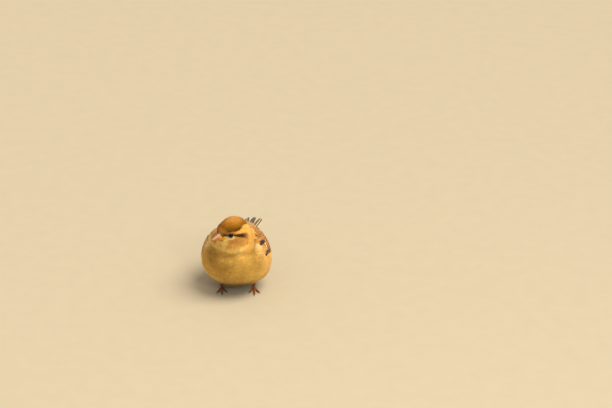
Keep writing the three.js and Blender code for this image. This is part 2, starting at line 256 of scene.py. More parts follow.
SHAFT = srgb(60, 42, 28)


# ---- numbers ----

def unit(vectors):
    return vectors / np.maximum(np.linalg.norm(vectors, axis=-1, keepdims=True), 1e-12)


def fade(value, start, end):
    """0 at start, 1 at end, smooth between."""
    t = np.clip((value - start) / (end - start), 0, 1)
    return t * t * (3 - 2 * t)


def mix(first, second, amount):
    return first + (second - first) * np.asarray(amount)[..., None]


def along(start, end, amount):
    return start + (end - start) * amount


def how_far(points, middle):
    return np.linalg.norm(points - middle, axis=-1)


def bell(offset, width):
    """1 at no offset, fading away over the width on both sides."""
    return np.exp(-((offset / width) ** 2))


def spot(points, middle, size, edge=1.25, core=0.3):
    """1 in the core of a round patch and 0 beyond its edge, both counted in its sizes."""
    return fade(np.linalg.norm((points - middle) / size, axis=-1), edge, core)


def flattened(vectors, out):
    """The vectors' directions along a surface that faces out."""
    return unit(vectors - (vectors * out).sum(-1, keepdims=True) * out)


def turns(count):
    return 2 * math.pi * np.arange(count) / count


def turn_about_z(angle):
    c, s = math.cos(angle), math.sin(angle)
    return np.array([[c, -s, 0], [s, c, 0], [0, 0, 1.0]])


HEAD_TURN = turn_about_z(HEAD_YAW)


def to_head(points):
    return (np.asarray(points, float) - HEAD_MIDDLE) @ HEAD_TURN


def from_head(points):
    return np.asarray(points, float) @ HEAD_TURN.T + HEAD_MIDDLE


def mirrored(points, side):
    return np.asarray(points, float) * np.array([side, 1, 1])


# The CAD model's origin lies under the middle of the whole bird, so its left eye tells how
# far the points here are moved to get there.
_eye_low, _eye_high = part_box("eye_left")
ORIGIN_SHIFT = (np.array(_eye_low) + np.array(_eye_high)) / 2 / MM - from_head(EYE_AT)
ORIGIN_SHIFT[2] = 0


def placed(points):
    """Millimetres from between the feet as metres in the frame."""
    return (np.asarray(points, float) + ORIGIN_SHIFT) * MM


# ---- the body as a distance ----

def to_lump(points, middle, radii):
    scaled = (points - np.array(middle, float)) / radii
    size = np.linalg.norm(scaled, axis=-1)
    slope = np.linalg.norm(scaled / radii, axis=-1) + 1e-9
    return size * (size - 1) / slope


def to_cone(points, start, end, start_radius, end_radius):
    start, end = np.array(start, float), np.array(end, float)
    axis = end - start
    t = np.clip(((points - start) @ axis) / (axis @ axis), 0, 1)
    nearest = start + t[..., None] * axis
    return np.linalg.norm(points - nearest, axis=-1) - along(start_radius, end_radius, t)


def melt(distances, blend):
    nearest = distances[0]
    for other in distances[1:]:
        overlap = np.maximum(blend - np.abs(nearest - other), 0)
        nearest = np.minimum(nearest, other) - overlap * overlap / (4 * blend)
    return nearest


def melted_lumps(points, lumps):
    """The lumps as one, a little hollow across the upper back behind the raised neck."""
    from_hollow = (points - BACK_HOLLOW_AT) / BACK_HOLLOW_REACH
    hollow = BACK_HOLLOW_DEPTH * np.exp(-(from_hollow**2).sum(-1))
    return melt([to_lump(points, at, radii) for at, radii in lumps], TRUNK_BLEND) + hollow


def trunk_field(points):
    return melted_lumps(points, TRUNK_LUMPS)


def head_field(points):
    inside = to_head(points)
    inside[..., 0] = np.abs(inside[..., 0])
    return melt([to_lump(inside, at, radii) for at, radii in HEAD_LUMPS], HEAD_BLEND)


def cuff_field(points):
    """The feathered cuffs that hide the top of each shank."""
    distances = []
    for leg in LEGS.values():
        ankle, joint = np.array(leg["ankle"], float), np.array(leg["joint"], float)
        top = ankle + (-1.5 * leg["side"], 2, 8)
        middle = ankle + (-0.5 * leg["side"], -0.5, -0.5)
        end = along(ankle, joint, 0.5)
        distances.append(to_cone(points, top, middle, CUFF_RADII[0], CUFF_RADII[1]))
        distances.append(to_cone(points, middle, end, CUFF_RADII[1], CUFF_RADII[2]))
    return np.minimum.reduce(distances)


def body_field(points):
    whole = melt([trunk_field(points), head_field(points)], HEAD_BLEND)
    return melt([whole, cuff_field(points)], CUFF_BLEND)


def wing_field(points):
    beside = np.array(points, float)
    beside[..., 0] = np.abs(beside[..., 0])
    return melted_lumps(beside, TRUNK_LUMPS + WING_LUMPS)


def back_field(points):
    """The body with its folded wings, which the back feathers lie on."""
    return melt([body_field(points), wing_field(points)], WING_BLEND)


def rump_field(points):
    """The body with the root of the tail, which the tail's coverts lie on."""
    rise = math.tan(-TAIL_SLOPE) * (points[..., 1] - TAIL_ROOT_LUMP[0][1])
    level = points + rise[..., None] * np.array([0, 0, 1.0])
    return melt([body_field(points), to_lump(level, *TAIL_ROOT_LUMP)], TAIL_ROOT_BLEND)


def bill_root_field(points):
    """The head with the root of the bill, which the tufts at the nostrils lie on."""
    root = to_lump(to_head(points), *BILL_ROOT_LUMP)
    return melt([head_field(points), root], BILL_ROOT_BLEND)


CORNERS = np.array([(1, -1, -1), (-1, -1, 1), (-1, 1, -1), (1, 1, 1)], float)


def slope_of(field, points):
    step = 0.08
    total = sum(corner * field(points + step * corner)[..., None] for corner in CORNERS)
    return total / (4 * step)


def settle(points, level, field, rounds=2):
    """Moves points along the field's slope until they lie at that level of it."""
    for _ in range(rounds):
        slope = slope_of(field, points)
        off = (field(points) - level) / np.maximum((slope**2).sum(-1), 0.2)
        points = points - slope * off[..., None]
    return points


# ---- how the coat lies ----

BILL_BASE = from_head([0, -14.5, -1.5])
TAIL_PULL_AT = np.array([0.0, 85.0, 34.0])
EYES = {side: from_head(EYE_AT * (side, 1, 1)) for side in (1, -1)}

# How strongly each of these turns the feathers.
BILL_PUSH = 1.0
HEAD_PUSH = 0.45
TAIL_PULL = 1.5
EYE_PUSH = 0.16
DOWNWARD_PULL = 0.006


def pull_along(vector, strength):
    """A pull that weakens with distance."""
    return strength * vector / (vector**2).sum(-1, keepdims=True)


def lie_of(points, out):
    """The direction that feathers point in: away from the bill and round the eyes, to the tail."""
    pull = pull_along(points - BILL_BASE, BILL_PUSH) + pull_along(points - HEAD_MIDDLE, HEAD_PUSH)
    pull += pull_along(TAIL_PULL_AT - points, TAIL_PULL)
    pull[..., 2] -= DOWNWARD_PULL
    for eye in EYES.values():
        away = points - eye
        distance = np.linalg.norm(away, axis=-1, keepdims=True)
        pull += EYE_PUSH * unit(away) * bell(distance - 2.5, 1.8)
    return flattened(pull, out)


def coat_depth(points):
    depth = along(HEAD_DEPTH, BODY_DEPTH, fade(how_far(points, SKULL_MIDDLE), 17, 34))
    near_bill = fade(how_far(points, BILL_BASE), 3, 12)
    depth = depth * along(FACE_DEPTH / HEAD_DEPTH, 1, near_bill)
    near_cuff = fade(cuff_field(points) - np.minimum(trunk_field(points), 3), -3, 1)
    depth = along(CUFF_DEPTH, depth, fade(points[..., 2], 10, 18))
    return np.minimum(depth, along(CUFF_DEPTH, 9, near_cuff))


def wing_inset(points):
    """How far a point lies inside the folded wing's outline, seen from the side."""
    y, z = points[..., 1], points[..., 2]
    nearest = np.full(y.shape, 1e9)
    crossings = np.zeros(y.shape, int)
    corners = WING_OUTLINE
    for (y0, z0), (y1, z1) in zip(corners, corners[1:] + corners[:1]):
        dy, dz = y1 - y0, z1 - z0
        t = np.clip(((y - y0) * dy + (z - z0) * dz) / (dy * dy + dz * dz), 0, 1)
        nearest = np.minimum(nearest, np.hypot(y - y0 - t * dy, z - z0 - t * dz))
        spans = (z0 > z) != (z1 > z)
        meets = y < y0 + (z - z0) * dy / (dz if dz else 1e-9)
        crossings += spans & meets
    return np.where(crossings % 2 == 1, nearest, -nearest)


# ---- markings ----

def band(points, line):
    """How much a point belongs to a stripe, given as (x, y, z, half width) along it."""
    belongs = np.zeros(points.shape[:-1])
    for start, end in zip(line, line[1:]):
        start, end = np.array(start, float), np.array(end, float)
        axis = end[:3] - start[:3]
        t = np.clip(((points - start[:3]) @ axis) / (axis @ axis), 0, 1)
        distance = np.linalg.norm(points - start[:3] - t[..., None] * axis, axis=-1)
        half = along(start[3], end[3], t)
        belongs = np.maximum(belongs, 1 - fade(distance / half, 0.55, 1.3))
    return belongs


# In the head's frame, on its left side.
BROW_LINE = [
    (10.0, -10.0, 4.9, 0.4), (11.0, -8, 4.6, 0.8), (12.3, -4.6, 3.6, 1.4),
    (13.3, 0.5, 3.6, 1.9), (13.0, 6.5, 4.6, 4.2), (10.8, 13, 2.5, 5.2), (8, 17, -2, 4.5),
]
STRIPE_LINE = [
    (11.0, -7.2, 1.2, 1.0), (12.9, -3.6, 0.5, 1.6), (13.7, 0.5, -0.6, 2.2),
    (14.2, 4.5, -1.9, 2.7), (14.3, 8.0, -3.6, 3.0), (14.2, 11.5, -5.6, 3.0),
]
FORE_STRIPE_LINE = [(10.0, -11.8, 2.3, 1.3), (7.8, -14.0, 2.2, 2.0), (4.8, -15.8, 2.2, 2.0)]
NECK_LINE = [
    (12.6, 12.6, -2, 3.4), (14.5, 14.8, -9, 4.0), (16.5, 11, -15.5, 3.6), (17, 3, -20, 3.0),
]

# On the body, where the turned head's plumage folds against the left shoulder: painted shade in
# that crease.
CREASE_SHADE_SHARE = 0.5
CREASE_SHADE_LINE = [
    (18.3, 10.8, 66.9, 1.2), (20.9, -1.3, 67.4, 1.7), (22.7, -9.9, 66.1, 2.1),
    (23.8, -14.8, 62.9, 2.3), (24.2, -18.4, 58.9, 2.4), (22.9, -22.4, 56.2, 2.6),
]


def paint(points):
    """The plumage's colour at a place on the bird, with painted shade and painted light in it."""
    x, y, z = points[..., 0], points[..., 1], points[..., 2]
    colour = mix(BREAST, BELLY, fade(z, 40, 20) * fade(y, 25, -10))
    colour = mix(colour, FLANK, fade(np.abs(x), 22, 34) * fade(y, -26, -8))
    colour = mix(colour, VENT, fade(y, 22, 42))
    # The right breast side, darker than the left: partly its own greyish brown, partly painted
    # shade on the bird's shaded right side.
    colour = mix(colour, BREAST_SIDE_AND_SHADE, 0.65 * spot(points, (-19, -28, 50), (12, 12, 15)))
    colour = mix(colour, BREAST_SIDE_AND_SHADE, 0.3 * spot(points, (27, -24, 47), (8, 10, 12)))
    shoulder = spot(np.abs(points), (26.8, 14.5, 57), (6.5, 6.5, 8), 1.35, 0.35)
    colour = mix(colour, PALE_SHOULDER, shoulder * (y < 0))
    back_line = np.interp(y, [-24, -12, 0, 20, 44, 60], [70, 60, 54, 50, 44, 41])
    back = fade(z - back_line, -2, 2) * fade(y, -20, -12)
    colour = mix(colour, mix(MANTLE, RUMP, fade(y, 20, 36)), back)
    # Painted shade: the belly darker towards the bottom and round its low middle between the legs.
    low = np.maximum(fade(z, 16, 8), spot(points, (4, -22, 12), (24, 16, 13), 1.35))
    colour = mix(colour, BELLY_PAINTED_SHADE, np.minimum(1.0, 1.15 * low) * fade(y, 40, 20))
    # Painted shade on the lower breast and the middle of the belly.
    colour = mix(colour, BREAST_SIDE_AND_SHADE, 0.6 * spot(points, (-8, -37, 40), (14, 12, 10), 1.3, 0.2))
    colour = mix(colour, BREAST_SIDE_AND_SHADE, 0.4 * spot(points, (2, -34, 27), (22, 14, 9), 1.3, 0.2))
    inside = to_head(points)
    head_line = np.interp(inside[..., 1], [-14, -4, 6, 20], [-18, -21, -18, -10])
    colour = mix(colour, paint_head(points), fade(inside[..., 2] - head_line, -2.0, 2.0))
    # Painted shadow of the head: a dark band across the breast below the throat.
    head_shadow_line = np.interp(inside[..., 1], [-18, -12, -4, 4, 12], [-25, -23, -19.8, -20.5, -22.5])
    head_shadow = bell(inside[..., 2] - head_shadow_line, 2.4) * fade(y, -14, -24)
    colour = mix(colour, BREAST_SIDE_AND_SHADE, 0.65 * head_shadow)
    # Painted shade in the crease between the neck and the left shoulder.
    return mix(colour, NECK_CREASE_SHADE, CREASE_SHADE_SHARE * band(points, CREASE_SHADE_LINE))


def wander(points, reach):
    """Smooth waves over the body, between about -1 and 1, that repeat nowhere near."""
    p = points / reach
    waves = np.sin(p @ (1.0, 0.6, -0.5) + 1.3) + np.sin(p @ (-0.4, 0.9, 0.9) + 0.4)
    waves = waves + np.sin(p @ (0.7, -0.8, 0.6) + 2.2) + np.sin(p @ (0.2, 0.4, 1.3))
    return waves / 2.4


def paint_head(points):
    inside = to_head(points)
    inside[..., 0] = np.abs(inside[..., 0])
    x, y, z = inside[..., 0], inside[..., 1], inside[..., 2]
    colour = mix(THROAT, CHEEK, fade(x, 5, 10) * fade(z, -17, -11))
    colour = mix(colour, EAR_COVERTS, fade(y, -8, 2) * fade(x, 9, 13) * fade(z, -13, -5))
    colour = mix(colour, CHIN, spot(inside, (0, -15, -8), (6, 5, 4), 1.3, 0.5))
    colour = mix(colour, NAPE, fade(y, 9, 13) * fade(x, 13, 8))
    colour = mix(colour, NECK_BUFF, band(inside, NECK_LINE))
    crown_edge = np.interp(y, [-18, -13, -8, -4, 2, 8, 14], [1.5, 4.2, 5.2, 4.6, 5.6, 8.6, 6])
    # The crown, darker at its lower rim; its lighter top is painted light from above.
    crown_colour = mix(CROWN_DARK, CROWN, fade(z, 6.5, 11))
    crown_colour = mix(crown_colour, CROWN_TOP_LIT, fade(z, 10.5, 14))
    crown_colour = mix(crown_colour, FOREHEAD, fade(y, -11.5, -15))
    colour = mix(colour, crown_colour, fade(z - crown_edge, -0.5, 0.6) * fade(y, 17, 12))
    colour = mix(colour, mix(BROW_FRONT, BROW, fade(y, -7, 2)), band(inside, BROW_LINE))
    stripe = band(inside, STRIPE_LINE) * along(1, 0.05, fade(y, 2.5, 12.5))
    colour = mix(colour, EYE_STRIPE, stripe)
    colour = mix(colour, LORE, band(inside, FORE_STRIPE_LINE))
    axis = unit(EYE_AT * (1, 1, 0.2))
    off = inside - EYE_AT
    around = np.linalg.norm(off - (off @ axis)[..., None] * axis, axis=-1)
    ring = bell(around - 4.3, 0.95) * fade(off[..., 2], -0.6, -2.4) * fade(off @ axis, -1.5, 0.5)
    colour = mix(colour, EYE_RING, ring)
    # Painted shadow on the chin under the lower bill.
    shadow_under_bill = spot(inside, (0.5, -16.5, -4.6), (4.6, 4, 1.3), 1.3, 0.6)
    colour = mix(colour, BILL_SHADOW, 0.75 * shadow_under_bill)
    return mix(colour, GAPE, spot(inside, (4.3, -15.4, -1.9), (2.2, 2.2, 1.5), 1.25, 0.8))


# ---- meshes ----

def build_mesh(name, points, faces, normals=None, colours=None, values=None, uvs=None):
    """A mesh from points in millimetres and arrays of triangles or quads.

    colours, values and uvs are dicts of per-point arrays, by attribute name."""
    mesh = bpy.data.meshes.new(name)
    points = placed(points)
    faces = [np.asarray(part, np.int32) for part in faces if len(part)]
    sizes = np.concatenate([np.full(len(part), part.shape[1]) for part in faces])
    loops = np.concatenate([part.ravel() for part in faces])
    mesh.vertices.add(len(points))
    mesh.vertices.foreach_set("co", points.astype(np.float32).ravel())
    mesh.loops.add(len(loops))
    mesh.loops.foreach_set("vertex_index", loops)
    mesh.polygons.add(len(sizes))
    starts = np.concatenate([[0], np.cumsum(sizes)[:-1]]).astype(np.int32)
    mesh.polygons.foreach_set("loop_start", starts)
    mesh.update(calc_edges=True)
    mesh.polygons.foreach_set("use_smooth", np.ones(len(sizes), bool))
    for key, value in (colours or {}).items():
        flat = np.ones((len(points), 4), np.float32)
        flat[:, :3] = value
        layer = mesh.color_attributes.new(name=key, type="FLOAT_COLOR", domain="POINT")
        layer.data.foreach_set("color", flat.ravel())
    for key, value in (values or {}).items():
        layer = mesh.attributes.new(name=key, type="FLOAT", domain="POINT")
        layer.data.foreach_set("value", np.asarray(value, np.float32).ravel())
    for key, value in (uvs or {}).items():
        layer = mesh.uv_layers.new(name=key)
        layer.data.foreach_set("uv", np.asarray(value, np.float32)[loops].ravel())
    if normals is not None:
        mesh.normals_split_custom_set_from_vertices(normals.tolist())
    return mesh


def add_object(name, data):
    made = bpy.data.objects.new(name, data)
    bpy.context.scene.collection.objects.link(made)
    return made


def add_piece(mesh, material, nodes=()):
    piece = add_object(mesh.name, mesh)
    mesh.materials.append(material)
    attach(piece, "root")
    if nodes:
        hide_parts(*nodes)


def mesh_points(mesh):
    flat = np.zeros(len(mesh.vertices) * 3, np.float32)
    mesh.vertices.foreach_get("co", flat)
    return flat.reshape(-1, 3).astype(float) / MM - ORIGIN_SHIFT


def mesh_faces(mesh):
    """The mesh's triangles after its faces are cut up."""
    mesh.calc_loop_triangles()
    flat = np.zeros(len(mesh.loop_triangles) * 3, np.int32)
    mesh.loop_triangles.foreach_get("vertices", flat)
    return flat.reshape(-1, 3)


def remeshed(name, points, faces, voxel):
    """One watertight skin round loose closed shapes, as points and faces."""
    loose = add_object(name, build_mesh(name, points, faces))
    modifier = loose.modifiers.new("skin", "REMESH")
    modifier.mode = "VOXEL"
    modifier.voxel_size = voxel * MM
    whole = loose.evaluated_get(bpy.context.evaluated_depsgraph_get()).to_mesh()
    points = mesh_points(whole)
    loops = np.zeros(len(whole.loops), np.int32)
    whole.loops.foreach_get("vertex_index", loops)
    loose.to_mesh_clear()
    bpy.data.objects.remove(loose)
    return points, loops.reshape(-1, 4)


def edges_of(quads):
    pairs = np.concatenate([quads[:, [i, (i + 1) % 4]] for i in range(4)])
    return np.unique(np.sort(pairs, axis=1), axis=0)


def smoothed(points, edges, rounds):
    """Points drawn half way to the middle of their neighbours, again and again."""
    counts = np.bincount(edges.ravel(), minlength=len(points))[:, None]
    for _ in range(rounds):
        total = np.zeros_like(points)
        np.add.at(total, edges[:, 0], points[edges[:, 1]])
        np.add.at(total, edges[:, 1], points[edges[:, 0]])
        points = along(points, total / np.maximum(counts, 1), 0.5)
    return points


def smooth_curve(corners, count):
    """Points along a centripetal Catmull-Rom curve through the corners."""
    corners = np.array(corners, float)
    ends = np.vstack([2 * corners[0] - corners[1], corners, 2 * corners[-1] - corners[-2]])
    points = []
    for t in np.linspace(0, len(corners) - 1, count):
        i = min(int(t), len(corners) - 2)
        level = list(ends[i:i + 4])
        steps = np.linalg.norm(np.diff(level, axis=0), axis=1) ** 0.5
        knots = np.concatenate([[0], np.cumsum(steps)])
        u = along(knots[1], knots[2], t - i)
        for span in (1, 2, 3):
            for k in range(4 - span):
                a, b = (knots[k], knots[k + span]) if span < 3 else (knots[1], knots[2])
                level[k] = along(level[k], level[k + 1], (u - a) / (b - a))
        points.append(level[0])
    return np.array(points)


def ring_faces(rings, sides):
    """Faces of rings of points between two end points: quads, and a fan at each end."""
    index = 1 + np.arange(rings * sides).reshape(rings, sides)
    nxt = np.roll(index, -1, axis=1)
    quads = np.stack([index[:-1], index[1:], nxt[1:], nxt[:-1]], axis=-1).reshape(-1, 4)
    first = np.stack([np.zeros(sides, int), index[0], nxt[0]], axis=1)
    last = np.stack([np.full(sides, rings * sides + 1), nxt[-1], index[-1]], axis=1)
    return [quads, first, last]


def on_rings(values, sides):
    """One value for each ring, as one for each point of such a form."""
    return np.concatenate([values[:1], np.repeat(values[1:-1], sides), values[-1:]])


def sweep(line, section, sides, up=(0, 0, 1), floor=None):
    """A closed rod along a line: section(t, turn) gives its reach sideways and upwards."""
    t = np.linspace(0, 1, len(line))
    tangent = unit(np.gradient(line, axis=0))
    across = unit(np.cross(tangent, np.array(up, float)))
    over = np.cross(across, tangent)
    turn = turns(sides)
    reach_across, reach_over = section(t[1:-1, None], turn[None])
    rings = line[1:-1, None] + (reach_across * np.cos(turn))[..., None] * across[1:-1, None]
    rings = rings + (reach_over * np.sin(turn))[..., None] * over[1:-1, None]
    points = np.vstack([line[:1], rings.reshape(-1, 3), line[-1:]])
    if floor is not None:
        points[:, 2] = np.maximum(points[:, 2], floor)
    return points, ring_faces(len(line) - 2, sides)


def joined(shapes):
    """Several (points, faces) as one."""
    points, faces, base = [], [], 0
    for shape_points, shape_faces in shapes:
        points.append(shape_points)
        faces.extend(part + base for part in shape_faces)
        base += len(shape_points)
    return np.vstack(points), faces


# ---- shader nodes ----

class Shader:
    """A material whose nodes are added one after another."""

    def __init__(self, name, **fixed):
        self.material = bpy.data.materials.new(name)
        self.material.use_nodes = True
        self.tree = self.material.node_tree
        self.surface = self.tree.nodes["Principled BSDF"]
        for key, value in fixed.items():
            self.surface.inputs[key.replace("_", " ")].default_value = value

    def add(self, kind, inputs, output, **settings):
        """An output of a new node, whose inputs are each linked or set."""
        node = self.tree.nodes.new("ShaderNode" + kind)
        for key, value in settings.items():
            setattr(node, key, value)
        for key, value in inputs.items():
            if isinstance(value, bpy.types.NodeSocket):
                self.tree.links.new(value, node.inputs[key])
            else:
                node.inputs[key].default_value = value
        return node.outputs[output]

    def attribute(self, name, output="Fac"):
        return self.add("Attribute", {}, output, attribute_name=name)

    def noise(self, scale, detail=2.0):
        place = self.add("TexCoord", {}, "Object")
        return self.add("TexNoise", {"Scale": scale, "Detail": detail, "Vector": place}, "Fac")

    def spread(self, value, low, high, start=0.3, end=0.7, way="LINEAR"):
        """The value mapped from start..end to low..high."""
        reach = {"Value": value, "From Min": start, "From Max": end, "To Min": low, "To Max": high}
        return self.add("MapRange", reach, "Result", interpolation_type=way)

    def ramp(self, value, start, end):
        """0 before start and 1 after end, smooth between."""
        return self.spread(value, 0.0, 1.0, start, end, "SMOOTHSTEP")

    def blend(self, amount, first, second):
        return self.add("Mix", {0: amount, 6: first, 7: second}, 2, data_type="RGBA")

    def scaled(self, colour, value):
        """The colour times a number."""
        return self.add("VectorMath", {0: colour, "Scale": value}, "Vector", operation="SCALE")

    def math(self, operation, *values):
        return self.add("Math", dict(enumerate(values)), 0, operation=operation)

    def times(self, first, second):
        return self.math("MULTIPLY", first, second)

    def plus(self, first, second):
        return self.math("ADD", first, second)

    def finish(self, colour, roughness=None, relief=None, strength=0.0, distance=0.0):
        """The material, with its colour and roughness, and a height for its fine relief."""
        self.tree.links.new(colour, self.surface.inputs["Base Color"])
        if roughness is not None:
            self.tree.links.new(roughness, self.surface.inputs["Roughness"])
        if relief is not None:
            bump = {"Height": relief, "Strength": strength, "Distance": distance}
            self.tree.links.new(self.add("Bump", bump, "Normal"), self.surface.inputs["Normal"])
        return self.material


def plumage_material(name, sheen):
    """Feather locks or the skin under them: the painted colour, mottled."""
    shader = Shader(name, Roughness=0.85, Specular_IOR_Level=0.1, Sheen_Weight=sheen,
                    Sheen_Roughness=0.5, Sheen_Tint=(1.0, 0.84, 0.6, 1.0))
    mottle = shader.spread(shader.noise(420, 3), 0.86, 1.12)
    cloud = shader.spread(shader.noise(95), 0.92, 1.07)
    colour = shader.scaled(shader.attribute("Plumage", "Color"), shader.times(mottle, cloud))
    roughness = shader.spread(shader.noise(700), 0.75, 0.95)
    return shader.finish(colour, roughness, shader.noise(2600), 0.25, 0.0002)


def vane_material(name):
    """A vaned feather: centre and edge colours, barbs running out from the shaft."""
    shader = Shader(name, Roughness=0.55, Specular_IOR_Level=0.3, Sheen_Weight=0.15,
                    Sheen_Roughness=0.4)
    across = shader.math("ABSOLUTE", shader.attribute("Across"))
    length = shader.attribute("Along")
    inner, tip = shader.attribute("Inner"), shader.attribute("Tip")
    ragged = shader.spread(shader.noise(1300), -0.035, 0.035)
    edge = shader.ramp(shader.plus(across, ragged), inner, shader.plus(inner, 0.22))
    end = shader.ramp(shader.plus(length, ragged), tip, shader.plus(tip, 0.08))
    centre_colour, edge_colour = (shader.attribute(key, "Color") for key in ("Centre", "Edge"))
    colour = shader.blend(shader.math("MAXIMUM", edge, end), centre_colour, edge_colour)
    along_barbs = shader.plus(
        shader.times(length, shader.attribute("Length")), shader.times(across, BARB_SLANT)
    )
    barb = shader.math("SINE", shader.times(along_barbs, BARB_PITCH))
    shaft = shader.spread(across, 1.0, 0.0, 0.03, 0.11, "SMOOTHSTEP")
    shade = shader.plus(shader.times(barb, 0.03), 1.0)
    shade = shader.times(shade, shader.spread(shader.noise(500, 3), 0.86, 1.12))
    colour = shader.scaled(colour, shade)
    colour = shader.blend(shader.times(shaft, 0.45), colour, (*SHAFT, 1))
    height = shader.plus(barb, shader.times(shaft, 2.0))
    return shader.finish(colour, shader.spread(shader.noise(600), 0.46, 0.66), height, 0.3, 0.0001)


def painted_material(name, attribute, grain, roughness, strength, **fixed):
    """Bill, leg, claw or lid: painted colour with fine grain and a light relief."""
    shader = Shader(name, **fixed)
    shade = shader.spread(shader.noise(grain, 4), 0.85, 1.12)
    colour = shader.scaled(shader.attribute(attribute, "Color"), shade)
    rough = shader.spread(shader.noise(grain), roughness, roughness + 0.18)
    return shader.finish(colour, rough, shader.noise(grain * 2.5, 3), strength, 0.0001)


def eye_material():
    shader = Shader("eye_wet", Roughness=0.05, IOR=1.36, Specular_IOR_Level=0.3)
    iris = shader.spread(shader.noise(2500, 3), 0.7, 1.3)
    return shader.finish(shader.scaled(shader.attribute("Iris", "Color"), iris))


# ---- scattering ----

TRIES_PER_PLACE = 9


def scatter(rng, points, triangles, spacing, allowed):
    """Places on a surface that keep their spacing, in random order, where allowed."""
    corners = points[triangles]
    middle = corners.mean(axis=1)
    first, second = corners[:, 1] - corners[:, 0], corners[:, 2] - corners[:, 0]
    area = np.linalg.norm(np.cross(first, second), axis=1) / 2
    weight = np.where(allowed(middle) > -2, area / spacing(middle) ** 2, 0)
    tries = int(weight.sum() * TRIES_PER_PLACE)
    chosen = rng.choice(len(triangles), tries, p=weight / weight.sum())
    a, b = rng.random(tries), rng.random(tries)
    over = a + b > 1
    a, b = np.where(over, 1 - a, a)[:, None], np.where(over, 1 - b, b)[:, None]
    places = corners[chosen][:, 0] + a * first[chosen] + b * second[chosen]
    places = places[allowed(places) > 0]
    tree = kdtree.KDTree(len(places))
    for i, place in enumerate(places.tolist()):
        tree.insert(place, i)
    tree.balance()
    alive = np.ones(len(places), bool)
    kept = []
    reach = spacing(places)
    for i, place in enumerate(places.tolist()):
        if alive[i]:
            kept.append(i)
            for _, j, _ in tree.find_range(place, reach[i]):
                alive[j] = False
    return places[kept]


# ---- unwrap of the skin's own shape, for the coat's bake map ----

TUFT_PATCH = 0.003
BODY_DISC = 0.235  # radii
HEAD_DISC = 0.115


def unwrap(points):
    """Each side of body and head laid out as a disc that keeps areas."""
    inside = to_head(points)
    is_head = inside[..., 2] > -14
    off = np.where(is_head[..., None], inside - (0, 0, -2), points - (0, 3, 38))
    direction = unit(off)
    left = direction[..., 0] >= 0
    angle = np.arccos(np.clip(np.abs(direction[..., 0]), 0, 1))
    around = np.arctan2(direction[..., 2], direction[..., 1])
    radius = np.where(is_head, HEAD_DISC, BODY_DISC) * np.sin(angle / 2) * math.sqrt(2)
    u = np.where(is_head, np.where(left, 0.13, 0.4), np.where(left, 0.25, 0.75))
    v = np.where(is_head, 0.64, 0.25)
    return np.stack([u + radius * np.cos(around), v + radius * np.sin(around)], axis=-1)


# ---- the coat: feathers as fans of thin locks ----

def lock_faces(rings):
    """A tapering closed lock: triangular rings and a tip, as triangles."""
    faces = [(2, 1, 0)]
    for r in range(rings - 1):
        for c in range(3):
            a, b = 3 * r + c, 3 * r + (c + 1) % 3
            faces += [(b, a + 3, a), (b + 3, a + 3, b)]
    tip = 3 * rings
    for c in range(3):
        faces.append((tip - 3 + (c + 1) % 3, tip, tip - 3 + c))
    return np.array(faces)


def lock_tints(centre, place, s, pattern):
    """Colours along each lock: the coat's own marking, or the feather's centre and edge."""
    if pattern is None:
        return paint(centre)
    off_centre = np.abs(place)[..., None] / np.interp(s, *CENTRE_TAPER)
    inner = np.broadcast_to(pattern["inner"], len(place))[:, None, None]
    rim = fade(off_centre, inner, inner + 0.3)
    return mix(pattern["centre"][:, None, None], pattern["edge"][:, None, None], rim)


def lock_tones(rng, roots, locks, uneven):
    """How much brighter or darker than its colour each lock is."""
    count = len(roots)
    tones = rng.normal(1, 0.04, (count, 1)) * rng.normal(1, uneven, (count, locks))
    return tones * (1 + 0.08 * wander(roots, 2.8) + 0.06 * wander(roots + 9, 1.1))[:, None]


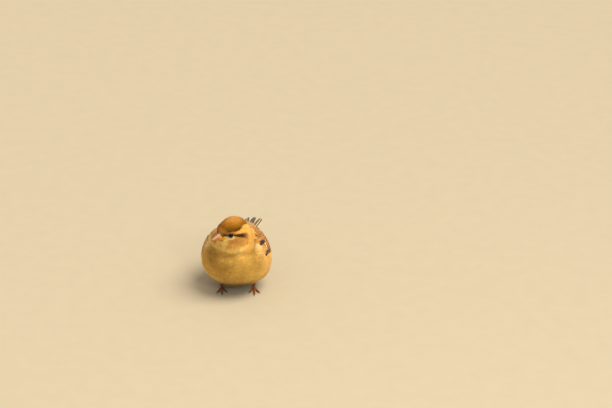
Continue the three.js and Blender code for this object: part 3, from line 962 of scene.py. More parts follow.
def fan_coat(rng, roots, length, width, lift, locks, stations, field=body_field, turn=0.07,
             pattern=None, heading=None):
    """Locks of every feather at these roots, as arrays for build_mesh, one row per feather.

    length, width, lift and pattern hold one value for each feather or one for all. pattern
    gives the centre's and the edge's colour, and how wide the centre is."""
    count = len(roots)
    length, width, lift = (np.broadcast_to(value, count) for value in (length, width, lift))
    out = unit(slope_of(field, roots))
    lie = lie_of(roots, out) if heading is None else flattened(heading, out)
    across = np.cross(lie, out)
    swing = (rng.normal(0, turn, count) + 0.13 * wander(roots, 2.6))[:, None]
    lie, across = unit(lie + swing * across), unit(across - swing * lie)
    depth = coat_depth(roots)

    # Each lock's place across the feather, from -1 to 1, and the middle of each of its rings.
    place = 2 * (np.arange(locks) + 0.5) / locks - 1
    place = place[None] + rng.uniform(-0.6, 0.6, (count, locks)) / locks
    reach = length[:, None] * (1 - 0.24 * place**2) * rng.uniform(0.84, 1.1, (count, locks))
    s = np.array(stations)
    sideways = place[..., None] * width[:, None, None] * np.interp(s, *LOCK_SPREAD)
    centre = roots[:, None, None] + sideways[..., None] * across[:, None, None]
    centre = centre + (reach[..., None] * s)[..., None] * lie[:, None, None]
    lift = lift + 0.14 * np.minimum(1, depth) * wander(roots + 40, 1.9)
    top = lift[:, None] + rng.normal(0, 0.09, (count, locks)) * np.minimum(1, depth[:, None])
    level = -depth[:, None, None] + (depth[:, None] + top)[..., None] * s**0.6
    level = level - 0.12 * width[:, None, None] * (place**2)[..., None] * s
    centre = settle(centre, level, field)
    normal = unit(slope_of(field, centre))
    side = unit(np.cross(unit(np.gradient(centre, axis=2)), normal))
    half = (LOCK_FATNESS * width / locks)[:, None, None] * np.interp(s, *LOCK_TAPER)
    half = (half * rng.uniform(0.8, 1.2, (count, locks))[..., None])[..., None]
    rings = len(s) - 1

    def round_lock(left, ridge, right, tip):
        around = np.stack([left, ridge, right], axis=3)[:, :, :rings]
        return np.concatenate([around.reshape(count, locks, rings * 3, 3), tip[:, :, -1:]], axis=2)

    points = round_lock(
        centre - side * half, centre + normal * half * 0.8, centre + side * half, centre
    )
    lean = LOCK_ROUNDNESS * side
    normals = unit(round_lock(normal - lean, normal, normal + lean, normal))

    tint = lock_tints(centre, place, s, pattern)
    tint = round_lock(tint, tint, tint, tint)
    at = np.concatenate([np.repeat(s[:rings], 3), [1.0]])
    tones = lock_tones(rng, roots, locks, uneven=0.035 if pattern is None else 0.08)
    tint = tint * np.interp(at, *LOCK_SHADE)[:, None] * tones[..., None, None]
    patch = np.broadcast_arrays((0.45 * place)[..., None], at - 0.5)
    map_points = unwrap(roots)[:, None, None] + np.stack(patch, axis=-1) * TUFT_PATCH
    return dict(points=points, normals=normals, tint=np.clip(tint, 0, 1), map=map_points)


def add_coat(name, coats, material):
    """Coat pieces from fans, split round the bird so that each stays small enough."""
    for index, coat in enumerate(coats):
        points = coat["points"]
        count, locks, size = points.shape[:3]
        lock = lock_faces((size - 1) // 3)
        parts = math.ceil(count * locks * len(lock) / COAT_PIECE_LIMIT)
        middle = points.mean(axis=(1, 2))
        order = np.argsort(np.arctan2(middle[:, 0], -middle[:, 1]))
        for letter, chosen in zip("abcdefghij", np.array_split(order, parts)):
            number = len(chosen) * locks
            faces = (lock[None] + np.arange(number)[:, None, None] * size).reshape(-1, 3)
            flat = {key: coat[key][chosen].reshape(number * size, -1) for key in coat}
            mesh = build_mesh(
                f"{name}_{index + 1}{letter}", flat["points"], [faces], normals=flat["normals"],
                colours={"Plumage": flat["tint"]}, uvs={"OFBake": flat["map"]},
            )
            add_piece(mesh, material)


# ---- the skin ----

FLESH = ("trunk", "neck", "head", "thigh_left", "thigh_right")


def make_skin():
    shapes = []
    for node in FLESH:
        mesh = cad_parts[node].data
        shapes.append((mesh_points(mesh), [mesh_faces(mesh)]))
    points, quads = remeshed("loose_flesh", *joined(shapes), SKIN_VOXEL)
    edges = edges_of(quads)
    for _ in range(3):
        points = smoothed(points, edges, 2)
        points = settle(points, -coat_depth(points), body_field)
    return points, quads


# ---- contour feathers ----

def clear_of_parts(points):
    """Above 0 where feathers may grow: not on bill, eyes, wings, tail or bare legs."""
    inside = to_head(points)
    t = np.clip((BILL_ROOT[1] - inside[..., 1]) / BILL_LENGTH, 0, 1)
    beside_bill = np.hypot(inside[..., 0] / 4.4, (inside[..., 2] - BILL_ROOT[2]) / 4.8)
    clear = np.where(t > 0.16, beside_bill - 0.98, 1.0)
    for eye in EYES.values():
        clear = np.minimum(clear, how_far(points, eye) - EYE_CLEARANCE)
    y, z = points[..., 1], points[..., 2]
    bend = np.interp(z, [51, 57], [WING_BEND, WING_BEND + 3.5])
    on_wing = (np.abs(points[..., 0]) > 4) & (y > bend)
    overlap = 1.6 - 2.2 * fade(z, 52, 49) * fade(y, 6, 0)
    clear = np.minimum(clear, overlap - np.where(on_wing, wing_inset(points), -9))
    return np.minimum(clear, COAT_END - y)


def from_face(points):
    """0 on the face, 1 on the back of the head, 2 on the body."""
    to_eye = np.minimum.reduce([how_far(points, eye) for eye in EYES.values()])
    near = np.minimum(how_far(points, from_head([0, -13, 0])) / 13, to_eye / 7.5)
    return fade(near, 0.7, 1.6) + fade(how_far(points, SKULL_MIDDLE), 19, 33)


def by_region(points, values):
    plain = np.interp(from_face(points), [0, 1, 2], values)
    return along(plain, values[1] * 0.9, fade(points[..., 2], 15, 8))


def on_back(points):
    """Above 0 where the vaned mantle feathers take over from the soft coat."""
    y, z = points[..., 1], points[..., 2]
    edge = np.interp(y, [-14, -6, 6, 16], [70, 64.5, 61, 60])
    return np.minimum(np.minimum(z - edge, y + 13), 21 - y)


def make_contour_coat(rng, skin_points, triangles, material):
    roots = scatter(
        rng, skin_points, triangles, lambda points: by_region(points, SPACING),
        lambda points: np.minimum(clear_of_parts(points), 1.5 - on_back(points)),
    )
    region = from_face(roots)
    length = by_region(roots, LENGTH) * rng.uniform(0.9, 1.12, len(roots))
    width = by_region(roots, HALF_WIDTH)
    lift = np.interp(region, [0, 1, 2], [0.0, 0.05, 0.15])
    lift = lift + 0.7 * fade(wing_inset(roots), -9, -1) * fade(region, 1.2, 2)
    lift = lift + 1.6 * spot(roots, (31, 0, 21), (12, 18, 10), 1.2, 0.2)
    coats = []
    for low, high, locks, stations in (
        (-1, 0.75, 5, SHORT_LOCK),
        (0.75, 1.45, 8, SHORT_LOCK),
        (1.45, 9, 14, LONG_LOCK),
    ):
        here = (region >= low) & (region < high)
        sizes = length[here], width[here], lift[here]
        coats.append(fan_coat(rng, roots[here], *sizes, locks, stations))
    coats.append(make_bill_tufts(rng))
    add_coat("coat", coats, material)


def make_bill_tufts(rng):
    """Short feathers that point forward over the root of the bill, down to the nostrils."""
    roots = []
    for row, y in enumerate((-13.8, -14.9, -15.9)):
        angle = np.radians(np.linspace(-76, 76, 19) + 4 * (row - 1))
        across = 4.4 * np.sin(angle)
        height = BILL_ROOT[2] + 4.9 * np.cos(angle)
        roots.append(from_head(np.stack([across, np.full(19, y), height], axis=1)))
    roots = settle(np.vstack(roots), -0.4, bill_root_field)
    count = len(roots)
    above = fade(to_head(roots)[:, 2], 0, 3)
    tone = rng.normal(1, 0.08, (count, 1))
    pattern = dict(
        centre=mix(LORE, FOREHEAD, 0.4 * above) * tone,
        edge=mix(LORE * 1.3, FOREHEAD, above) * tone,
        inner=0.3,
    )
    return fan_coat(
        rng, roots, rng.uniform(2.2, 2.9, count), 0.55, -0.1, 5, SHORT_LOCK, turn=0.12,
        field=bill_root_field, pattern=pattern, heading=from_head([0, -1.0, 0]) - HEAD_MIDDLE,
    )


# ---- vaned feathers ----

def vane_width(t, bluntness):
    """A vane's half width along its length, as a share of the widest."""
    opening = along(0.3, 1, fade(t, 0, 0.28))
    closing = np.clip((t - 0.55) / 0.45, 0, 1)
    return np.maximum(opening * (1 - closing**bluntness) ** (1 / 1.7), 0.04)


def vane_faces(rows, columns):
    """A closed lens-shaped sheet: two grids that share their rim. Returns faces and the rim map."""
    grid = np.arange((rows + 1) * (columns + 1)).reshape(rows + 1, columns + 1)
    under = grid + grid.size
    under[0], under[-1], under[:, 0], under[:, -1] = grid[0], grid[-1], grid[:, 0], grid[:, -1]
    quads = []
    for sheet, flip in ((grid, False), (under, True)):
        a, b, c, d = sheet[:-1, :-1], sheet[:-1, 1:], sheet[1:, 1:], sheet[1:, :-1]
        order = (a, d, c, b) if flip else (a, b, c, d)
        quads.append(np.stack([part.ravel() for part in order], axis=1))
    faces = np.concatenate(quads)
    used = np.unique(faces)
    back = np.full(grid.size * 2, -1)
    back[used] = np.arange(len(used))
    return back[faces], used


class Vanes:
    """Collects vaned feathers that share a row and column count, then makes one piece."""

    def __init__(self, rows, columns):
        self.stations = 1 - (1 - np.linspace(0, 1, rows + 1)) ** 1.6
        self.across = np.linspace(-1, 1, columns + 1)
        self.faces, self.used = vane_faces(rows, columns)
        self.parts = []

    def add(self, rng, line, across, out, half, centre, edge, inner, tip, bluntness, camber, tilt,
            ragged, thickness=0.16, settled=None, levels=None):
        """line is (n, rows + 1, 3), its feathers' shafts; the rest is per feather or for all."""
        count = len(line)
        t, u = self.stations, self.across
        wide = np.broadcast_to(half, count)[:, None] * vane_width(t[None], bluntness)
        wide = wide * (1 + ragged * rng.uniform(-1, 1, wide.shape) * (t > 0.2))
        points = line[:, :, None] + (wide[:, :, None] * u)[..., None] * across[:, :, None]
        drop = tilt * u - camber * wide.mean() * u**2
        if settled is None:
            points = points + drop[:, None] * out[:, :, None]
        else:
            points = settle(points, levels[:, :, None] + drop, settled)
        body = thickness * (1 - u**4) * np.sqrt(np.clip(4 * t * (1 - t), 0, 1))[:, None]
        shaft = 0.12 * bell(u, 0.12) * (1 - t)[:, None]
        top = points + shaft[None, ..., None] * out[:, :, None]
        under = points - body[None, ..., None] * out[:, :, None]
        both = np.concatenate([top.reshape(count, -1, 3), under.reshape(count, -1, 3)], axis=1)
        size = both.shape[1]
        length = np.linalg.norm(np.diff(line, axis=1), axis=2).sum(1)
        part = dict(
            points=both,
            Across=np.tile(u, (count, 2 * len(t))),
            Along=np.tile(np.repeat(t, len(u)), (count, 2)),
            Centre=np.repeat(np.broadcast_to(centre, (count, 3))[:, None], size, axis=1),
            Edge=np.repeat(np.broadcast_to(edge, (count, 3))[:, None], size, axis=1),
        )
        for key, value in (("Inner", inner), ("Tip", tip), ("Length", length)):
            part[key] = np.repeat(np.broadcast_to(value, count)[:, None], size, axis=1)
        self.parts.append({key: value[:, self.used] for key, value in part.items()})

    def make(self, name, material, nodes):
        whole = {key: np.concatenate([part[key] for part in self.parts]) for key in self.parts[0]}
        count, size = whole["points"].shape[:2]
        faces = (self.faces[None] + np.arange(count)[:, None, None] * size).reshape(-1, 4)

        # The bake map: each feather's own cell of a square of cells.
        per_row = math.ceil(math.sqrt(count))
        corner = np.stack([np.arange(count) % per_row, np.arange(count) // per_row], axis=-1)
        within = np.stack([0.5 + 0.46 * whole["Across"], 0.04 + 0.92 * whole["Along"]], axis=-1)
        cells = (corner[:, None] + within) / per_row
        flat = {key: value.reshape(count * size, -1) for key, value in whole.items()}
        mesh = build_mesh(
            name, flat["points"], [faces],
            colours={key: flat[key] for key in ("Centre", "Edge")},
            values={key: flat[key] for key in ("Across", "Along", "Inner", "Tip", "Length")},
            uvs={"OFBake": cells.reshape(count * size, 2)},
        )
        add_piece(mesh, material, nodes)


def surface_lines(starts, ends, levels, t, field):
    """Centre lines from starts to ends over a field, with their frames."""
    line = starts[:, None] + (ends - starts)[:, None] * t[None, :, None]
    line = settle(line, levels, field, rounds=3)
    out = unit(slope_of(field, line))
    return line, unit(np.cross(unit(np.gradient(line, axis=1)), out)), out


def beside(points, side, field, level):
    """Points given from the side as (y, z), moved out in x to the field's level."""
    points = np.asarray(points, float)
    found = np.stack([np.full(len(points), 36.0), points[:, 0], points[:, 1]], axis=1)
    for _ in range(14):
        distance = field(found) - level
        slope = (field(found + (0.05, 0, 0)) - field(found - (0.05, 0, 0))) / 0.1
        found[:, 0] -= np.clip(distance / np.maximum(slope, 0.15), -6, 6)
        found[:, 0] = np.clip(found[:, 0], 1.0, 37)
    return mirrored(found, side)


def feather_row(first, last, count, ease=1.0):
    t = np.linspace(0, 1, count)[:, None] ** ease
    return along(np.array(first, float), np.array(last, float), t)


# Each group of the folded wing, undermost first: its roots and tips from its upper inner
# feather to its lower outer one, as (y, z) from the side. The colours are for all of its
# feathers or for each.
WING_GROUPS = [
    dict(count=9, roots=((4, 51), (-6, 46)), tips=((36, 46.6), (64.3, 43.0)), ease=0.85,
         half=(3.4, 2.5), level=(-1.3, -0.5), centre=PRIMARY_DARK, edge=PRIMARY_EDGE, inner=0.66,
         tip=0.95, blunt=1.7),
    dict(count=3, roots=((-9, 49), (-11, 46.8)), tips=((6, 45), (1, 43.5)), ease=1,
         half=(2.2, 1.8), level=(-1.0, -0.1), centre=WING_DARK, edge=WING_RUFOUS, inner=0.6,
         tip=0.9, blunt=2),
    dict(count=6, roots=((-2, 55.5), (-4, 47.5)), tips=((35, 50.2), (22, 42.0)), ease=1,
         half=(3.2, 2.8), level=(-0.9, -0.1), centre=WING_DARK, edge=WING_RUFOUS, inner=0.34,
         tip=0.93, blunt=2.2),
    dict(count=3, roots=((-2, 59), (-4, 54.5)), tips=((27, 56.6), (37, 50.4)), ease=1,
         half=(4.6, 4.0), level=(-0.6, 0.3), centre=WING_DARK, edge=WING_BUFF, inner=0.48,
         tip=0.86, blunt=2.6),
    dict(count=9, roots=((-7, 60.0), (-12.5, 47.4)), tips=((17.0, 59.0), (7.5, 44.2)), ease=1,
         half=(2.6, 2.3), level=(-0.5, 0.45), centre=WING_DARK * 0.6, edge=WING_RUFOUS,
         inner=(0.34, 0.12, 0.9), tip=0.9, blunt=2.4),
    dict(count=6, roots=((-12, 58.3), (-15.5, 48.0)), tips=((0.6, 57.9), (-6.0, 46.6)), ease=1,
         half=(2.6, 2.4), level=(-0.3, 0.7), inner=0.9, tip=0.78, blunt=2.8,
         centre=[SPOT_DARK] + [WING_RUFOUS] * 3 + [SPOT_DARK] * 2,
         edge=[WING_DARK] + [WING_BAR] * 3 + [WING_DARK] * 2),
]


def make_wing(rng, name, side, material):
    vanes = Vanes(rows=16, columns=8)
    t = vanes.stations
    for group in WING_GROUPS:
        count = group["count"]
        level_root, level_tip = group["level"]
        roots = feather_row(*group["roots"], count)
        tips = feather_row(*group["tips"], count, group["ease"])
        starts = beside(roots, side, wing_field, level_root)
        ends = beside(tips, side, wing_field, level_tip)
        stack = 0.09 * (np.arange(count)[::-1] - count / 2) / 2
        levels = along(level_root, level_tip, t[None] ** 0.7) + stack[:, None]
        line, across, out = surface_lines(starts, ends, levels, t, wing_field)
        tint = rng.normal(1, 0.07, (count, 1))
        inner = np.broadcast_to(group["inner"], 3)
        vanes.add(
            rng, line, across, out, np.linspace(*group["half"], count),
            group["centre"] * tint, group["edge"] * tint,
            inner=np.interp(np.linspace(0, 1, count), [0, 0.5, 1], inner), tip=group["tip"],
            bluntness=group["blunt"], camber=0.06, tilt=0.22 * side, ragged=0.015,
            settled=wing_field, levels=levels,
        )
    vanes.make(f"wing_feathers_{name}", material, [f"wing_{name}"])


def make_tail(rng, material):
    vanes = Vanes(rows=24, columns=8)
    t = vanes.stations
    c, s = math.cos(TAIL_SLOPE), math.sin(TAIL_SLOPE)
    slope = np.array([[1, 0, 0], [0, c, s], [0, -s, c]])
    for i in range(TAIL_FEATHERS):
        place = i - (TAIL_FEATHERS - 1) / 2
        outward = abs(place) - 0.5
        length = TAIL_LENGTH - 1.6 * math.exp(-outward / 1.5) - 0.12 * outward * outward
        clump = TAIL_CLUMP_GAP * (i // TAIL_CLUMP - 1)
        turn = -(place * TAIL_FAN_STEP * TAIL_CLUMP_TIGHTNESS + clump)
        outer_in_clump = i % TAIL_CLUMP in (0, TAIL_CLUMP - 1)
        direction = np.array([-math.sin(turn), math.cos(turn), 0])
        drop = outward * RECTRIX_STACK + 0.02 * np.sign(place)
        line = np.array([place * 0.35, 0, 0.35 - drop]) + direction * (length * t)[:, None]
        across = np.broadcast_to(np.cross(direction, (0, 0, 1)) @ slope, line.shape)
        out = np.broadcast_to(slope[2], line.shape)
        tint = rng.normal(1, 0.05)
        vanes.add(
            rng, (line @ slope + TAIL_ROOT)[None], across[None], out[None], RECTRIX_HALF_WIDTH,
            TAIL_DARK * tint, TAIL_EDGE * tint, inner=0.55 if outer_in_clump else 0.95, tip=0.98,
            bluntness=3.2, camber=0.1, tilt=-0.1 * np.sign(place), ragged=0.012, thickness=0.3,
        )
    vanes.make("tail_feathers", material, ["tail"])


def make_back(rng, skin_points, triangles, material):
    """Mantle feathers: soft fans with dark centres and buff edges, in rows down the back."""
    roots = scatter(
        rng, skin_points, triangles,
        lambda points: np.full(len(points), MANTLE_SPACING), lambda points: on_back(points) + 1.5,
    )
    low_side = fade(roots[:, 2], 70, 62)
    length = along(7.5, 11.0, low_side) * rng.uniform(0.9, 1.1, len(roots))
    width = along(2.1, 2.8, low_side)
    lift = rng.normal(-0.2, 0.1, len(roots))
    aside = np.abs(roots[:, 0])
    streak = np.cos(aside * 2 * math.pi / STREAK_SPACING + rng.normal(0, 0.4, len(roots)))
    dark = fade(streak, -0.3, 0.5) * fade(aside, 16, 11)
    dark = np.maximum(dark, (rng.random(len(roots)) < 0.09) * 0.9)
    centre = mix(MANTLE * 0.8, MANTLE_DARK, dark * 0.85)
    edge = mix(MANTLE_EDGE, MANTLE, fade(streak, 0.2, 1.0) * 0.6)
    by_neck = fade(how_far(roots, HEAD_MIDDLE), 27, 23)
    # Painted shade in the crease by the neck, on these feathers too.
    crease_shade = CREASE_SHADE_SHARE * band(roots, CREASE_SHADE_LINE)
    pattern = dict(
        centre=mix(mix(centre, NECK_BUFF * 0.9, by_neck), NECK_CREASE_SHADE, crease_shade),
        edge=mix(mix(edge, NECK_BUFF, by_neck), NECK_CREASE_SHADE * 1.2, crease_shade),
        inner=0.16 + 0.22 * dark,
    )
    coat = fan_coat(
        rng, roots, length, width, lift, 15, LONG_LOCK, field=back_field, pattern=pattern,
    )
    add_coat("mantle", [coat, make_scapulars(rng)], material)


def make_scapulars(rng):
    """Longer feathers that hang from the edge of the back over the top of each wing."""
    roots, headings = [], []
    for side in (1, -1):
        for row, drop in enumerate((-0.5, 1.2, 2.9)):
            y = np.linspace(-9.5 + row, 11 - row, 11) + rng.uniform(-0.6, 0.6, 11)
            edge = np.interp(y, [-14, -6, 6, 16], [64.3, 62.3, 62.0, 60.0]) - drop + 2.5
            roots.append(beside(np.stack([y, edge], axis=1), side, body_field, -2.4))
            headings.append(np.broadcast_to([0.15 * side, 0.88, -0.5], (11, 3)))
    roots, headings = np.vstack(roots), np.vstack(headings)
    count = len(roots)
    tone = rng.normal(1, 0.08, (count, 1))
    pattern = dict(centre=SCAPULAR * tone, edge=MANTLE * 1.1 * tone, inner=0.3)
    return fan_coat(
        rng, roots, rng.uniform(7.5, 9.5, count), 2.6, rng.uniform(0.3, 0.65, count),
        17, LONG_LOCK, field=back_field, turn=0.1, pattern=pattern, heading=headings,
    )


def make_tail_coverts(rng, skin_points, triangles, material):
    """Longer soft feathers over and under the root of the tail."""
    roots = scatter(
        rng, skin_points, triangles,
        lambda points: np.full(len(points), COVERT_SPACING),
        lambda points: np.minimum(points[:, 1] - 34, 58 - points[:, 1]),
    )
    above = fade(roots[:, 2] - np.interp(roots[:, 1], [34, 58], [42, 39.5]), -2, 2)
    count = len(roots)
    headings = np.stack([-0.03 * roots[:, 0], np.ones(count), np.full(count, -0.1)], axis=1)
    tone = rng.normal(1, 0.05, (count, 1))
    pattern = dict(
        centre=mix(VENT * 0.92, RUMP * 0.78, above) * tone,
        edge=mix(VENT * 1.1, RUMP * 1.12, above) * tone,
        inner=0.3,
    )
    coat = fan_coat(
        rng, roots, rng.uniform(11, 15, count), 2.6, rng.uniform(0.1, 0.5, count),
        17, (0, 0.35, 0.7, 1), field=rump_field, pattern=pattern, heading=headings,
    )
    add_coat("tail_coverts", [coat], material)


# ---- eyes, lids and bill ----

def eye_frame(side):
    """An eye's middle in the head's frame, the way it faces, and a way to its rim at each turn."""
    axis = unit(mirrored(EYE_FACING, side))
    up = unit(np.array([0, 0, 1.0]) - axis * axis[2])
    right = np.cross(up, axis)

    def spokes(turn):
        return np.cos(turn)[:, None] * right + np.sin(turn)[:, None] * up

    return EYE_AT * (side, 1, 1), axis, spokes


def make_eyeball(name, side, material):
    rows, sides = 40, 56
    centre, axis, spokes = eye_frame(side)
    theta = np.linspace(0, math.pi, rows + 1)
    bulge = 1 + 0.035 * bell(theta, 0.55)
    ring = (np.sin(theta) * bulge)[1:-1, None, None] * spokes(turns(sides))
    ring = ring + (np.cos(theta) * bulge)[1:-1, None, None] * axis
    shape = np.vstack([[axis * bulge[0]], ring.reshape(-1, 3), [-axis]])
    from_axis = on_rings(theta, sides)
    colour = mix(PUPIL, IRIS, fade(from_axis, 0.38, 0.46))
    colour = mix(colour, IRIS_RIM, fade(from_axis, 0.64, 0.74))
    mesh = build_mesh(
        f"eyeball_{name}", from_head(centre + shape * EYE_RADIUS), ring_faces(rows - 1, sides),
        colours={"Iris": colour},
    )
    add_piece(mesh, material, [f"eye_{name}"])


def make_eyelids(name, side, material):
    """A fine rim that hugs the ball, and a skirt from it in under the feathers."""
    centre, axis, spokes = eye_frame(side)
    phi = turns(72)
    spoke = spokes(phi)[:, None]
    corners = 1 + 0.05 * np.cos(2 * phi) + 0.07 * np.abs(np.cos(phi)) ** 7
    reach = corners[:, None] * (EYE_OPENING + LID_REACH)
    height = np.sqrt(EYE_RADIUS**2 - np.minimum(reach, 3.12) ** 2) + LID_RISE
    rim = from_head(centre + reach[..., None] * spoke + height[..., None] * axis)
    hem = settle(from_head(centre + LID_SKIRT * spoke + 0.6 * axis), -0.9, body_field, rounds=3)
    skirt = along(rim[:, :1], hem, np.array([1, 0.6, 0.3])[:, None])
    top = np.concatenate([skirt, rim], axis=1)
    under = top[:, ::-1] - LID_THICKNESS * (from_head(axis) - HEAD_MIDDLE)
    points = np.concatenate([top, under], axis=1)
    index = np.arange(points[..., 0].size).reshape(points.shape[:2])
    nxt = np.roll(index, -1, axis=0)
    quads = np.stack([index, nxt, np.roll(nxt, -1, axis=1), np.roll(index, -1, axis=1)], axis=-1)
    colour = paint(points)
    colour[:, 3:7] = mix(LID, LID_TOP, fade(np.sin(phi), -0.3, 0.5))[:, None]
    colour[:, 7:9] = LID_EDGE
    mesh = build_mesh(
        f"eyelids_{name}", points.reshape(-1, 3), [quads.reshape(-1, 4)],
        colours={"Skin": colour.reshape(-1, 3)},
    )
    add_piece(mesh, material)


def bill_taper(t):
    return 0.95 * (1 - t) ** 0.62 * (1 - 0.1 * np.sin(math.pi * t)) + 0.05


def bill_width(t, turn):
    """Half the bill's width, with the swelling of the gape at each side."""
    gape = 0.75 * bell(t - 0.25, 0.09) * np.abs(np.cos(turn)) ** 4
    return BILL_HALF_WIDTH * bill_taper(t) + gape


def bill_inner(t):
    """How far a half's inner face hollows, where it meets the other half."""
    return -0.02 + 0.05 * (1 - t)


def nostrils(t, turn, long, wide):
    """1 in the middle of each nostril, fading over a share of the bill and over an angle."""
    aside = np.abs(turn - math.pi / 2) - NOSTRIL_TURN
    return bell(t - NOSTRIL_AT, long) * bell(aside, wide)


def make_upper_bill(material):
    def section(t, turn):
        taper = bill_taper(t)
        ridge = 1 + 0.05 * bell(np.abs(turn - math.pi / 2), 0.3)
        over = np.where(np.sin(turn) > 0, UPPER_BILL_DEPTH * taper * ridge, bill_inner(t))
        relief = 0.16 * nostrils(t, turn, 0.05, 0.32) - 0.75 * nostrils(t, turn, 0.028, 0.17)
        return bill_width(t, turn) + relief, over + relief

    def colours(t, turn, height):
        side_to_top = fade(height, 0.25, 0.8) * fade(t, 1.05, 0.6)
        colour = mix(BILL_SIDE * 0.8, BILL_TOP, side_to_top)
        colour = mix(colour, BILL_TIP, 0.75 * fade(t, 0.86, 1.0))
        colour = mix(colour, BILL_TIP, 0.35 * fade(height, 0.93, 1.0) * fade(t, 0.3, 0.9))
        colour = mix(colour, NOSTRIL, fade(nostrils(t, turn, 0.03, 0.19), 0.35, 0.9))
        return mix(colour, GAPE, fade(t, 0.46, 0.34) * fade(height, 0.6, 0.3))

    make_bill_half("upper", BILL_LENGTH, BILL_GAP / 2, section, colours, material)


def make_lower_bill(material):
    def section(t, turn):
        over = np.where(np.sin(turn) < 0, LOWER_BILL_DEPTH * bill_taper(t), bill_inner(t))
        return bill_width(t, turn), over

    def colours(t, turn, height):
        colour = mix(BILL_SIDE, BILL_TOP, 0.15 * height)
        colour = mix(colour, BILL_TIP, 0.375 * fade(t, 0.86, 1.0))
        return mix(colour, GAPE, fade(t, 0.46, 0.34) * fade(height, 0.95, 0.6))

    make_bill_half("lower", 0.95 * BILL_LENGTH, -BILL_GAP / 2, section, colours, material)


def make_bill_half(name, reach, meet, section, colours, material):
    rings, sides = 64, 72
    t = np.linspace(0, 1, rings)
    height = BILL_ROOT[2] + meet - BILL_DROOP * t * t
    line = np.stack([np.zeros(rings), BILL_ROOT[1] - reach * t, height], axis=1)
    points, faces = sweep(line, section, sides)
    turn = np.concatenate([[0], np.tile(turns(sides), rings - 2), [0]])
    from_seam = np.abs(np.sin(turn))
    colour = colours(on_rings(t, sides), turn, from_seam)
    colour = mix(colour, BILL_SEAM, 0.8 * fade(from_seam, 0.16, 0.02))
    mesh = build_mesh(f"mandible_{name}", from_head(points), faces, colours={"Horn": colour})
    add_piece(mesh, material, [f"bill_{name}"])


# ---- legs and feet ----

def foot_point(heading, distance, height):
    angle = math.radians(heading)
    return np.array([math.sin(angle) * distance, -math.cos(angle) * distance, height])


def on_foot(points, leg):
    turned = mirrored(points, leg["side"]) @ turn_about_z(math.radians(leg["heading"])).T
    return turned + np.array([leg["joint"][0], leg["joint"][1], 0])


def tarsus_line(leg, count):
    ankle, joint = np.array(leg["ankle"], float), np.array(leg["joint"], float)
    knuckle = along(ankle, joint, 0.9) + (0, 0.3, 0)
    return smooth_curve([ankle, along(ankle, joint, 0.5) + (0, 0.4, 0), knuckle, joint], count)


def toe_line(toe, leg, count):
    stations = [
        (0, 1.9), (0.22, 1.2), (0.48, TOE_HEIGHT), (0.8, TOE_HEIGHT), (1, TOE_HEIGHT + 0.15),
    ]
    corners = [foot_point(toe["heading"], share * toe["length"], z) for share, z in stations]
    return on_foot(smooth_curve(corners, count), leg)


def tarsus_section(t, turn):
    radius = TARSUS_RADIUS * (1 + 0.35 * np.abs(2 * (t - 0.5)) ** 3)
    return radius * 0.86 + 0 * turn, radius + 0 * turn


def toe_section(t, turn):
    radius = TOE_RADIUS * (1.06 - 0.22 * t + 0.13 * np.cos(6 * math.pi * t))
    return radius + 0 * turn, radius + 0 * turn


def nearest_on(lines, points):
    """Each point's place on the nearest line: how far along, where, its front and its scutes."""
    found = []
    for line, front, scute in lines:
        reach = np.concatenate([[0], np.cumsum(np.linalg.norm(np.diff(line, axis=0), axis=1))])
        distance = np.linalg.norm(points[:, None] - line[None], axis=2)
        pick = distance.argmin(1)
        same = np.broadcast_to([*front, scute], (len(points), 4))
        found.append(np.column_stack([distance.min(1), reach[pick], line[pick], same]))
    found = np.stack(found)
    nearest = found[found[:, :, 0].argmin(0), np.arange(len(points))]
    station, middle, front, scute = np.split(nearest[:, 1:], [1, 4, 7], axis=1)
    return station[:, 0], middle, front, scute[:, 0]


def make_leg(name, leg, leg_look, claw_look):
    shapes = [sweep(tarsus_line(leg, 40), tarsus_section, 24, up=(0, -1, 0))]
    lines = [(tarsus_line(leg, 160), unit(np.array([0, -1, 0.25])), SHANK_SCUTE)]
    for toe in TOES.values():
        shapes.append(sweep(toe_line(toe, leg, 36), toe_section, 20, floor=0.0))
        lines.append((toe_line(toe, leg, 120), np.array([0, 0, 1.0]), TOE_SCUTE))
    points, quads = remeshed("loose_leg", *joined(shapes), LEG_VOXEL)
    points = smoothed(points, edges_of(quads), 3)

    # Overlapping plates down the front of shank and toes, and pebbles behind.
    station, middle, front, scute = nearest_on(lines, points)
    outward = unit(points - middle)
    facing = (outward * front).sum(1)
    saw = (station / scute) % 1.0
    plate = np.minimum(fade(saw, 0, 0.16), 1 - 0.55 * fade(saw, 0.3, 1.0))
    on_front = fade(facing, 0.0, 0.45)
    pebbles = 0.5 + 0.5 * np.sin(station * 7.5) * np.cos(facing * 9)
    height = 0.11 * on_front * (plate - 0.35) + 0.035 * (1 - on_front) * (pebbles - 0.5)
    points = points + outward * height[:, None]
    points[:, 2] = np.maximum(points[:, 2], 0)
    groove = on_front * (1 - fade(saw, 0.0, 0.2)) + 0.35 * (1 - on_front) * (1 - pebbles)
    # The leg's tone: on the right leg, painted shade.
    colour = mix(LEG, LEG_GROOVE, 0.8 * groove) * leg["tone"]
    colour = mix(colour, LEG * 0.55, 0.6 * fade(station, 6, 14) * (scute < 1))
    mesh = build_mesh(f"leg_{name}", points, [quads], colours={"Skin": colour})
    add_piece(mesh, leg_look, [f"tarsus_{name}", f"foot_{name}"])
    for toe_name, toe in TOES.items():
        make_claw(f"{name}_{toe_name}", toe, leg, claw_look)


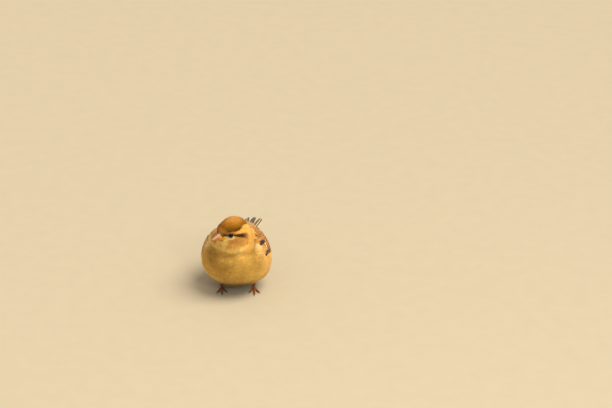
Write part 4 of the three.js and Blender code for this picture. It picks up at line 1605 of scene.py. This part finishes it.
def make_claw(name, toe, leg, material):
    rings, sides = 28, 20
    start = toe["length"] - 1
    stations = [(0, 1.15), (0.35, 1.75), (0.75, 1.35), (1, CLAW_TIP_RADIUS + 0.1)]
    corners = [foot_point(toe["heading"], start + share * toe["claw"], z) for share, z in stations]

    def section(t, turn):
        radius = along(CLAW_RADIUS, CLAW_TIP_RADIUS * 0.5, t**0.85)
        keel = 1 + 0.1 * np.sin(turn)
        return radius * 0.8 * keel, radius * keel

    points, faces = sweep(smooth_curve(corners, rings), section, sides)
    if leg["side"] < 0:
        faces = [part[:, ::-1] for part in faces]
    colour = mix(CLAW_BASE, CLAW, fade(on_rings(np.linspace(0, 1, rings), sides), 0.1, 0.5))
    mesh = build_mesh(f"talon_{name}", on_foot(points, leg), faces, colours={"Horn": colour})
    add_piece(mesh, material, [f"claw_{name}"])


# ---- floor, light and camera ----

def make_stage():
    size = FLOOR_HALF_SIZE
    corners = [(-size, -size, 0), (size, -size, 0), (size, size, 0), (-size, size, 0)]
    mesh = bpy.data.meshes.new("floor")
    mesh.from_pydata(corners, [], [(0, 1, 2, 3)])
    shader = Shader("pale_floor", Roughness=0.9, Specular_IOR_Level=0.1)
    shade = shader.spread(shader.noise(60, 3), 0.985, 1.015)
    mesh.materials.append(shader.finish(shader.scaled(tuple(FLOOR), shade)))
    add_object("floor", mesh)


def add_light(name, kind, colour, energy, aim, place=(0, 0, 0), **settings):
    light = bpy.data.lights.new(name, kind)
    light.color = colour
    light.energy = energy
    for key, value in settings.items():
        setattr(light, key, value)
    lamp = add_object(name, light)
    lamp.location = place
    lamp.rotation_euler = Vector(aim).to_track_quat("-Z", "Y").to_euler()


def make_lights():
    world = bpy.data.worlds.new("studio")
    world.use_nodes = True
    background = world.node_tree.nodes["Background"]
    background.inputs["Color"].default_value = (1.0, 0.97, 0.92, 1)
    background.inputs["Strength"].default_value = 0.55
    bpy.context.scene.world = world
    add_light("key", "SUN", (1.0, 0.96, 0.88), 2.9, (-0.5, 0.1, -1.0), angle=math.radians(38))
    add_light("catch", "AREA", (0.96, 0.98, 1.0), 4, (-0.72, 1.05, -0.79), (0.72, -1.05, 0.85),
              shape="SQUARE", size=0.28)


def make_camera():
    heading, down = math.radians(CAMERA_HEADING), math.radians(CAMERA_DOWN)
    level = math.cos(down)
    forward = Vector((-math.sin(heading) * level, math.cos(heading) * level, -math.sin(down)))
    camera = add_object("camera", bpy.data.cameras.new("camera"))
    camera.data.lens = CAMERA_LENS
    camera.data.sensor_width = SENSOR_WIDTH
    camera.location = placed(CAMERA_AT)
    camera.rotation_euler = forward.to_track_quat("-Z", "Y").to_euler()
    bpy.context.scene.camera = camera
    bpy.context.scene.view_settings.view_transform = "Standard"


# ---- the bird ----

def make_bird():
    rng = np.random.default_rng(SEED)
    soft = plumage_material("soft_plumage", 0.14)
    quill = vane_material("quills")
    horn = painted_material("bill_horn", "Horn", 900, 0.3, 0.15, Subsurface_Weight=0.15,
                            Subsurface_Scale=0.001)
    claw_look = painted_material("claw_horn", "Horn", 1500, 0.28, 0.15)
    leg_look = painted_material("leg_scutes", "Skin", 1200, 0.42, 0.3)
    lid_look = painted_material("lid_skin", "Skin", 2200, 0.45, 0.3)
    eye_look = eye_material()

    points, quads = make_skin()
    mesh = build_mesh("skin", points, [quads], colours={"Plumage": paint(points) * 0.96})
    add_piece(mesh, plumage_material("feathered_skin", 0.0), FLESH)
    triangles = np.concatenate([quads[:, [0, 1, 2]], quads[:, [0, 2, 3]]])
    for make in (make_contour_coat, make_back, make_tail_coverts):
        make(rng, points, triangles, soft)
    for name, leg in LEGS.items():
        make_wing(rng, name, leg["side"], quill)
        make_leg(name, leg, leg_look, claw_look)
        make_eyeball(name, leg["side"], eye_look)
        make_eyelids(name, leg["side"], lid_look)
    make_tail(rng, quill)
    make_upper_bill(horn)
    make_lower_bill(horn)


make_camera()
make_lights()
make_stage()
make_bird()
